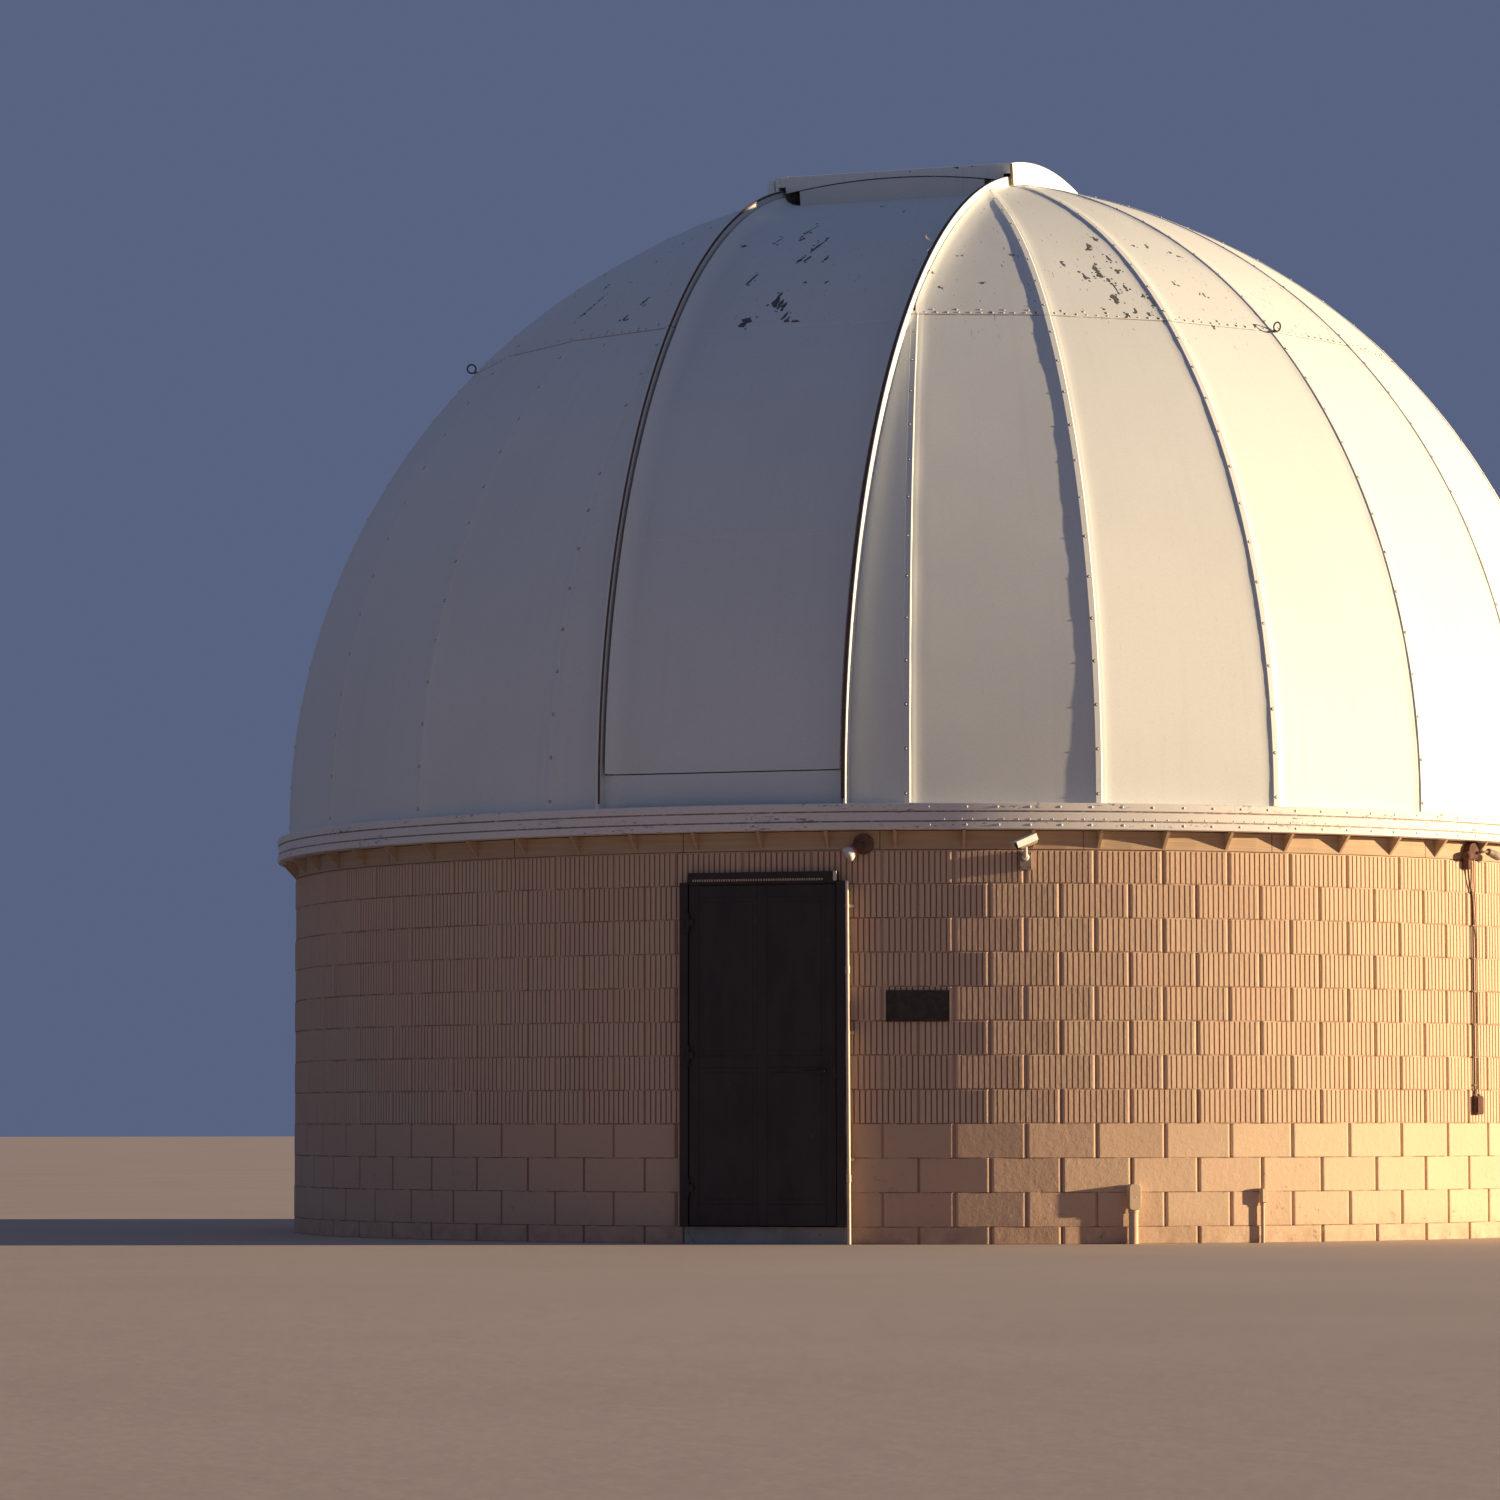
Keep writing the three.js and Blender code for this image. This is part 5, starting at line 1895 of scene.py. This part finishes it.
@dataclass
class Door:
    """Dark steel door: raised stiles and rails on the leaf, and a vent strip in the header."""

    leaf_face: float = 4.352
    stile_face: float = 4.3565
    leaf_half: float = 0.455
    stile_width: float = 0.060
    mullion_half: float = 0.028
    rails: tuple[Pair, ...] = ((0.108, 0.235), (1.045, 1.115), (2.060, 2.131))
    panel_inset: float = 0.03
    header_face: float = 4.358
    vent: Pair = (2.152, 2.172)
    vent_ends: Pair = (-0.43, 0.37)
    vent_sill: Pair = (-0.44, 0.405)
    tab_widths: Pair = (0.0065, 0.0095)
    tab_gaps: Pair = (0.0055, 0.0080)
    housing: Box = ((0.440, -4.366, 2.151), (0.462, -4.356, 2.208))

    def build(self) -> None:
        """Makes the raised members and the vent strip, and dresses the frame, leaf and handle."""
        for name in ("door_frame", "door_leaf", "door_handle"):
            dress(name, "door_paint")
        shape = Fixture(DOOR_AZIMUTH)
        back, front = 0.002 - self.leaf_face, -self.stile_face
        bottom, top = self.rails[0][0] + 0.001, self.rails[-1][1] - 0.001
        half, middle, inset = self.leaf_half - 0.001, self.mullion_half, self.panel_inset
        inner = half - self.stile_width
        bays = ((-inner, -middle), (middle, inner))
        for x0, x1 in ((-half, -inner), (inner, half), (-middle, middle)):
            shape.box((x0, front, bottom), (x1, back, top), 0.0015)
        for z0, z1 in self.rails:
            for x0, x1 in bays:
                shape.box((x0 + 0.0002, front, z0 + 0.001), (x1 - 0.0002, back, z1 - 0.001), 0.0015)
        for (_, z0), (z1, _) in zip(self.rails, self.rails[1:]):
            for x0, x1 in bays:
                shape.box((x0 + inset, front + 0.0015, z0 + inset), (x1 - inset, back, z1 - inset), 0.0012)
        shape.piece("door_members", Body.DOOR, Slot.DARK_STEEL, ["door_paint"])
        self._vent()

    def _vent(self) -> None:
        """Makes the louvre strip along the header and the small housing at its end."""
        shape = Fixture(DOOR_AZIMUTH)
        chance = random.Random(3)
        low, high = self.vent
        face, back = -self.header_face, -self.header_face + 0.002
        start, end = self.vent_sill
        shape.box((start, face - 0.002, low - 0.006), (end, back, low - 0.001), 0.0008)
        x, last = self.vent_ends
        while x < last:
            width = chance.uniform(*self.tab_widths)
            shape.box((x, face - 0.003, low + 0.002), (x + width, back, high - 0.004), 0.001, 1)
            x += width + chance.uniform(*self.tab_gaps)
        shape.box(*self.housing, 0.002, 2)
        finishes = ["door_paint", "tan_post_paint", "cream_conduit"]
        shape.piece("door_vent_strip", Body.BUILDING, Slot.DARK_STEEL, finishes)


@dataclass
class Conduit:
    """Conduit beside the door frame, leaning a little, with couplings and clips."""

    across: float = 0.522
    outward: float = 4.352
    radius: float = 0.0115
    lean: float = 0.009
    top: float = 2.150
    couplings: tuple[float, ...] = (0.388, 1.62)
    coupling_half: float = 0.024
    clips: tuple[float, ...] = (0.5, 1.25, 2.0)
    clip_half: float = 0.009
    tab_face: float = 4.3155
    tab_back: float = 4.300

    def build(self) -> None:
        """Makes the conduit."""
        shape = Fixture(DOOR_AZIMUTH)
        x, radius, back = self.across, self.radius, -self.tab_back
        axis = shape.frame @ Matrix.Translation((x + self.lean, -self.outward, 0.0))
        axis = axis @ Matrix.Rotation(-self.lean / self.top, 4, "Y")
        shape.spin([(radius, 0.001), (radius, self.top - 0.003), (radius - 0.002, self.top)], axis, 20)
        for height in self.couplings:
            self._collar(shape, axis @ Matrix.Translation((0, 0, height)), self.coupling_half, 0.003, 0.002)
        for height in self.clips:
            self._collar(shape, axis @ Matrix.Translation((0, 0, height)), self.clip_half, 0.0018, 0.0)
            low, high = height - self.clip_half, height + self.clip_half
            shape.box((x - 0.006, -self.outward, low), (x + 0.006, back, high), 0.001)
            shape.box((x + 0.004, -self.tab_face, low), (x + 0.030, back, high), 0.001)
            shape.screw((x + 0.022, -self.tab_face, height), 0.004, 0.003, 6)
        shape.piece("conduit_pipe", Body.BUILDING, Slot.GALVANISED, ["cream_conduit"], ["door_conduit"])

    def _collar(self, shape: Shape, place: Matrix, half: float, swell: float, slope: float) -> None:
        """Adds a thicker stretch round the pipe.

        Args:
            shape: Takes the solids.
            place: Placement of its middle.
            half: Half its length.
            swell: How far it stands off the pipe.
            slope: Length of its tapered ends.
        """
        outer = self.radius + swell
        profile = ((self.radius, -half), (outer, slope - half), (outer, half - slope), (self.radius, half))
        shape.spin(profile, place, 20)


@dataclass
class Plaque:
    """Bare plaque: a plate with a raised border and four screws."""

    azimuth: float = -1.6775
    half: float = 0.190
    low: float = 1.314
    high: float = 1.500
    back: float = -4.318
    face: float = -4.3345
    rim: float = 0.010
    screw_inset: float = 0.024

    def build(self) -> None:
        """Makes the plaque."""
        shape = Fixture(self.azimuth)
        x, low, high, face, rim, inset = self.half, self.low, self.high, self.face, self.rim, self.screw_inset
        shape.box((-x, face, low), (x, self.back, high), 0.003)
        for x0, z0, x1, z1 in (
            (-x, low, x, low + rim), (-x, high - rim, x, high),
            (-x, low + rim, -x + rim, high - rim), (x - rim, low + rim, x, high - rim),
        ):
            shape.box((x0, face - 0.003, z0), (x1, face + 0.002, z1), 0.0012)
        for across in (inset - x, x - inset):
            for height in (low + inset, high - inset):
                shape.screw((across, face, height), 0.0065, 0.004, 12)
        shape.piece("bare_plaque", Body.BUILDING, Slot.PLAQUE, ["bronze_plate"], ["wall_plaque"])


@dataclass
class WallCamera:
    """Camera under the eave band: base box, arm, body with a sunshield, and lens."""

    azimuth: float = 6.62
    base_low: Triple = (-0.026, -4.365, 2.212)
    base_high: Triple = (0.050, -4.312, 2.322)
    arm: Route = (
        (0.010, -4.362, 2.285), (0.008, -4.390, 2.296), (0.002, -4.430, 2.325), (-0.004, -4.470, 2.352),
    )
    arm_radius: float = 0.0115
    flange: Profile = ((0.022, 0.0), (0.022, 0.008), (0.016, 0.014))
    flange_spot: Triple = (0.010, -4.364, 2.286)
    back: Triple = (0.054, -4.456, 2.395)
    front: Triple = (-0.056, -4.499, 2.3485)
    half_width: float = 0.027
    lens: Profile = ((0.019, -0.004), (0.019, 0.004), (0.016, 0.004), (0.0155, 0.001))

    def build(self) -> None:
        """Makes the camera."""
        shape = Fixture(self.azimuth)
        shape.box(self.base_low, self.base_high, 0.004, 2)
        for height in (2.226, 2.308):
            for x in (-0.016, 0.040):
                shape.screw((x, self.base_low[1], height), 0.004, 0.002, 8, 1)
        shape.bar(self.arm, self.arm_radius, 16)
        shape.spin(self.flange, shape.frame @ facing(Vector(self.flange_spot), Vector((0, -1, 0.1))), 18)
        back, front = Vector(self.back), Vector(self.front)
        axis = (front - back).normalized()
        side = axis.cross(Vector((0, 0, 1))).normalized()
        over = side.cross(axis).normalized()
        turn = Matrix((side, axis, over)).transposed().to_4x4()
        middle = shape.frame @ Matrix.Translation((back + front) / 2) @ turn
        half, long = self.half_width, (front - back).length / 2
        # The body takes the darker weathered case finish, which also paints the shade under the sunshield.
        shape.block((-half, -long, -0.028), (half, long, 0.025), 0.006, middle, 2)
        wide = half + 0.0045
        shape.block((-wide, -long - 0.006, 0.0245), (wide, long + 0.022, 0.0295), 0.002, middle)
        for x0, x1 in ((-half - 0.0055, -half - 0.0025), (half + 0.0025, half + 0.0055)):
            shape.block((x0, -long - 0.004, -0.012), (x1, long + 0.016, 0.027), 0.001, middle)
        shape.spin(self.lens, middle @ facing(Vector((0, long, -0.002)), Vector((0, 1, 0))), 20, 1)
        finishes = ["housing_plastic", "lens_black", "weathered_case"]
        shape.piece("camera_housing", Body.BUILDING, Slot.HOUSING, finishes, ["wall_camera"])


@dataclass
class LeftLamp:
    """Round junction box with a flood lamp: a holder, a coloured seal and a flared glass."""

    azimuth: float = -5.94
    centre: Triple = (0.0, -4.318, 2.368)
    cover: Profile = (
        (0.061, 0.0), (0.062, 0.003), (0.062, 0.022), (0.058, 0.028), (0.030, 0.032), (0.012, 0.033),
    )
    arm: Route = ((0.0, -4.346, 2.368), (-0.006, -4.368, 2.365), (-0.020, -4.386, 2.357))
    base: Triple = (-0.008, -4.378, 2.363)
    face: Triple = (-0.092, -4.412, 2.296)
    radius: float = 0.046
    holder_share: float = 0.46

    def build(self) -> None:
        """Makes the box and the lamp."""
        shape = Fixture(self.azimuth)
        shape.disc(self.centre, self.cover, 32, 3)
        for x in (-0.040, 0.040):
            shape.screw((x, -4.3485, self.centre[2]), 0.005, 0.004, 8)
        shape.bar(self.arm, 0.014)
        base, face = shape.at(self.base), shape.at(self.face)
        place = facing(base, face - base)
        length = (face - base).length
        split = length * self.holder_share
        holder = [
            (0.018, 0.0), (0.027, 0.006), (0.029, 0.02), (0.029, split - 0.008), (0.033, split - 0.004),
            (0.033, split + 0.006), (0.026, split + 0.008),
        ]
        seal = [(0.0335, split - 0.001), (0.036, split + 0.001), (0.036, split + 0.008), (0.03, split + 0.01)]
        radius = self.radius
        glass = [
            (0.026, split + 0.006), (0.034, split + 0.018), (radius * 0.92, length - 0.026),
            (radius, length - 0.014), (radius, length - 0.008), (radius * 0.94, length - 0.003),
            (radius * 0.6, length + 0.001), (radius * 0.2, length + 0.002),
        ]
        for profile, sides, finish in ((holder, 22, 0), (seal, 22, 2), (glass, 26, 1)):
            shape.spin(profile, place, sides, finish)
        finishes = ["dark_fitting", "lamp_glass", "lamp_seal", "rusty_tab"]
        shape.piece("flood_lamp_left", Body.BUILDING, Slot.GALVANISED, finishes, ["lamp_left"])


@dataclass
class LampPair:
    """Round junction box with a dark block below it that stands partly for painted shadow, a stub lamp and a
    lamp on an arm.
    """

    azimuth: float = 49.4
    centre: Triple = (0.0, -4.318, 2.391)
    cover: Profile = (
        (0.054, 0.0), (0.055, 0.003), (0.055, 0.038), (0.051, 0.045), (0.028, 0.048), (0.010, 0.050),
    )
    block_low: Triple = (-0.072, -4.362, 2.275)
    block_high: Triple = (-0.012, -4.315, 2.349)
    stub: Profile = (
        (0.016, 0.0), (0.024, 0.006), (0.028, 0.018), (0.028, 0.062), (0.026, 0.070), (0.020, 0.078),
        (0.008, 0.081),
    )
    stub_ends: Box = ((-0.030, -4.352, 2.366), (-0.106, -4.376, 2.352))
    arm: Route = (
        (0.020, -4.362, 2.374), (0.036, -4.392, 2.383), (0.056, -4.402, 2.387), (0.104, -4.402, 2.389),
    )
    barrel: Profile = (
        (0.012, 0.0), (0.021, 0.004), (0.0235, 0.014), (0.0235, 0.052), (0.0258, 0.056), (0.0258, 0.110),
        (0.0245, 0.118), (0.0225, 0.1185), (0.0215, 0.112),
    )
    barrel_ends: Box = ((0.092, -4.400, 2.390), (0.212, -4.400, 2.360))

    def build(self) -> None:
        """Makes the box and both lamps."""
        shape = Fixture(self.azimuth)
        shape.disc(self.centre, self.cover, 32)
        # The dark block below the box stands partly for the shadow that the fittings cast on the wall there.
        shape.box(self.block_low, self.block_high, 0.012)
        start, end = (shape.at(spot) for spot in self.stub_ends)
        shape.spin(self.stub, facing(start, end - start), 22)
        shape.bar(self.arm, 0.008, 14, 1)
        start, end = (shape.at(spot) for spot in self.barrel_ends)
        shape.spin(self.barrel, facing(start, end - start), 24, 1)
        finishes = ["dark_fitting", "weathered_case"]
        shape.piece("flood_lamp_pair", Body.BUILDING, Slot.GALVANISED, finishes, ["lamp_pair"])


@dataclass
class OutletCables:
    """Two strapped cables that run down the wall to an outlet box."""

    azimuth: float = 50.0
    dark: Route = (
        (-0.080, -4.338, 2.285), (-0.060, -4.334, 2.20), (-0.030, -4.332, 2.12), (-0.021, -4.331, 2.05),
        (-0.020, -4.331, 1.3), (-0.020, -4.331, 0.885),
    )
    pale: Route = (
        (-0.010, -4.335, 2.352), (-0.012, -4.336, 2.22), (-0.014, -4.340, 2.15), (0.006, -4.334, 2.02),
        (0.022, -4.330, 1.85), (0.023, -4.330, 1.2), (0.021, -4.334, 0.885),
    )
    strapped_rows: tuple[int, ...] = (5, 6, 7, 8, 9, 10, 11)
    lowest_strap_lift: float = 0.03
    boxes: tuple[tuple[Triple, Triple, float, int], ...] = (
        ((-0.037, -4.356, 0.763), (0.037, -4.315, 0.877), 0.003, 0),
        ((-0.031, -4.362, 0.771), (0.031, -4.354, 0.869), 0.002, 0),
        ((0.035, -4.350, 0.790), (0.046, -4.338, 0.865), 0.002, 2),
    )
    gland: Profile = ((0.013, 0.0), (0.013, 0.010), (0.010, 0.015))

    def build(self) -> None:
        """Makes the cables, their straps, the box and its glands."""
        shape = Fixture(self.azimuth)
        shape.bar(self.dark, 0.0055, 12, 0)
        shape.bar(self.pale, 0.0048, 12, 1)
        for row in self.strapped_rows:
            height = (row - 0.5) * COURSE + (self.lowest_strap_lift if row == self.strapped_rows[0] else 0.0)
            shape.box((-0.034, -4.3385, height - 0.004), (-0.008, -4.312, height + 0.004), 0.0015, 2)
        for low, high, bevel, finish in self.boxes:
            shape.box(low, high, bevel, finish)
        for x in (-0.020, 0.021):
            shape.spin(self.gland, shape.frame @ Matrix.Translation((x, -4.333, 0.875)), 14, 2)
        finishes = ["dark_fitting", "tan_post_paint", "weathered_case"]
        shape.piece("outlet_cables", Body.BUILDING, Slot.GALVANISED, finishes, ["outlet_cable"])


@dataclass
class OvalPost:
    """Outlet with an oval box beside the wall's foot, on a short pipe and held by a nipple."""

    azimuth: float = 15.2
    foot: Triple = (0.0, -4.3615, 0.0)
    pipe: Profile = ((0.028, 0.0), (0.028, 0.182), (0.031, 0.184), (0.031, 0.206))
    middle: Triple = (0.0, -4.336, 0.276)
    half_width: float = 0.0365
    half_height: float = 0.077
    corner: float = 0.021
    rounding: Profile = ((0.0, 0.002), (0.002, 0.0), (0.064, 0.0), (0.067, 0.003))
    nipple: Triple = (0.0, -4.310, 0.315)

    def build(self) -> None:
        """Makes the post."""
        shape = Fixture(self.azimuth)
        shape.spin(self.pipe, Matrix.Translation(shape.at(self.foot)), 24)
        middle = shape.frame @ facing(Vector(self.middle), Vector((0, -1, 0)))
        straight_x, straight_y = self.half_width - self.corner, self.half_height - self.corner
        rounds = []
        for depth, inset in self.rounding:
            loop = []
            for i in range(36):
                turn = 2 * math.pi * (i + 0.5) / 36
                across = math.copysign(straight_x, math.cos(turn)) + (self.corner - inset) * math.cos(turn)
                upright = math.copysign(straight_y, math.sin(turn)) + (self.corner - inset) * math.sin(turn)
                loop.append(middle @ Vector((across, upright, depth)))
            rounds.append(loop)
        shape.loft(rounds, hard_rows=(1, 2, 3))
        shape.disc(self.nipple, ((0.026, 0.0), (0.026, 0.030)), 20)
        shape.stud(middle @ Vector((0.0, 0.0, 0.0665)), shape.at((0, -1, 0)), 0.006, 0.0015, 10, 1)
        finishes = ["tan_post_paint", "zinc"]
        shape.piece("oval_outlet_post", Body.BUILDING, Slot.TAN_PAINT, finishes, ["outlet_post_oval"])


@dataclass
class SquarePost:
    """Outlet with a square box beside the wall's foot, on a thin pipe and held by a nipple."""

    azimuth: float = 26.3
    foot: Triple = (0.0, -4.347, 0.0)
    pipe: Profile = ((0.0125, 0.0), (0.0125, 0.222), (0.016, 0.224), (0.016, 0.240))
    case: Box = ((-0.018, -4.370, 0.236), (0.018, -4.333, 0.326))
    cover: Box = ((-0.016, -4.374, 0.240), (0.016, -4.368, 0.322))
    nipple: Triple = (0.0, -4.310, 0.300)

    def build(self) -> None:
        """Makes the post."""
        shape = Fixture(self.azimuth)
        shape.spin(self.pipe, Matrix.Translation(shape.at(self.foot)), 20)
        shape.box(*self.case, 0.004)
        shape.box(*self.cover, 0.0025)
        shape.disc(self.nipple, ((0.011, 0.0), (0.011, 0.026)), 16)
        finishes = ["tan_post_paint", "zinc"]
        shape.piece("square_outlet_post", Body.BUILDING, Slot.TAN_PAINT, finishes, ["outlet_post_square"])


def main() -> None:
    """Builds every sub-assembly in order."""
    logging.basicConfig(level=logging.INFO, format="%(name)s %(message)s")
    make_finishes()
    makers = (
        Studio(), BlockWall(), EaveBand(), Door(), Conduit(), Plaque(), WallCamera(), LeftLamp(), LampPair(),
        OutletCables(), OvalPost(), SquarePost(), BaseRing(), DomeSkin(), SlitFrame(), LowerShutter(),
        UpperShutter(),
    )
    for maker in makers:
        maker.build()
        LOG.info("%s done", type(maker).__name__)


if __name__ == "__main__":
    main()
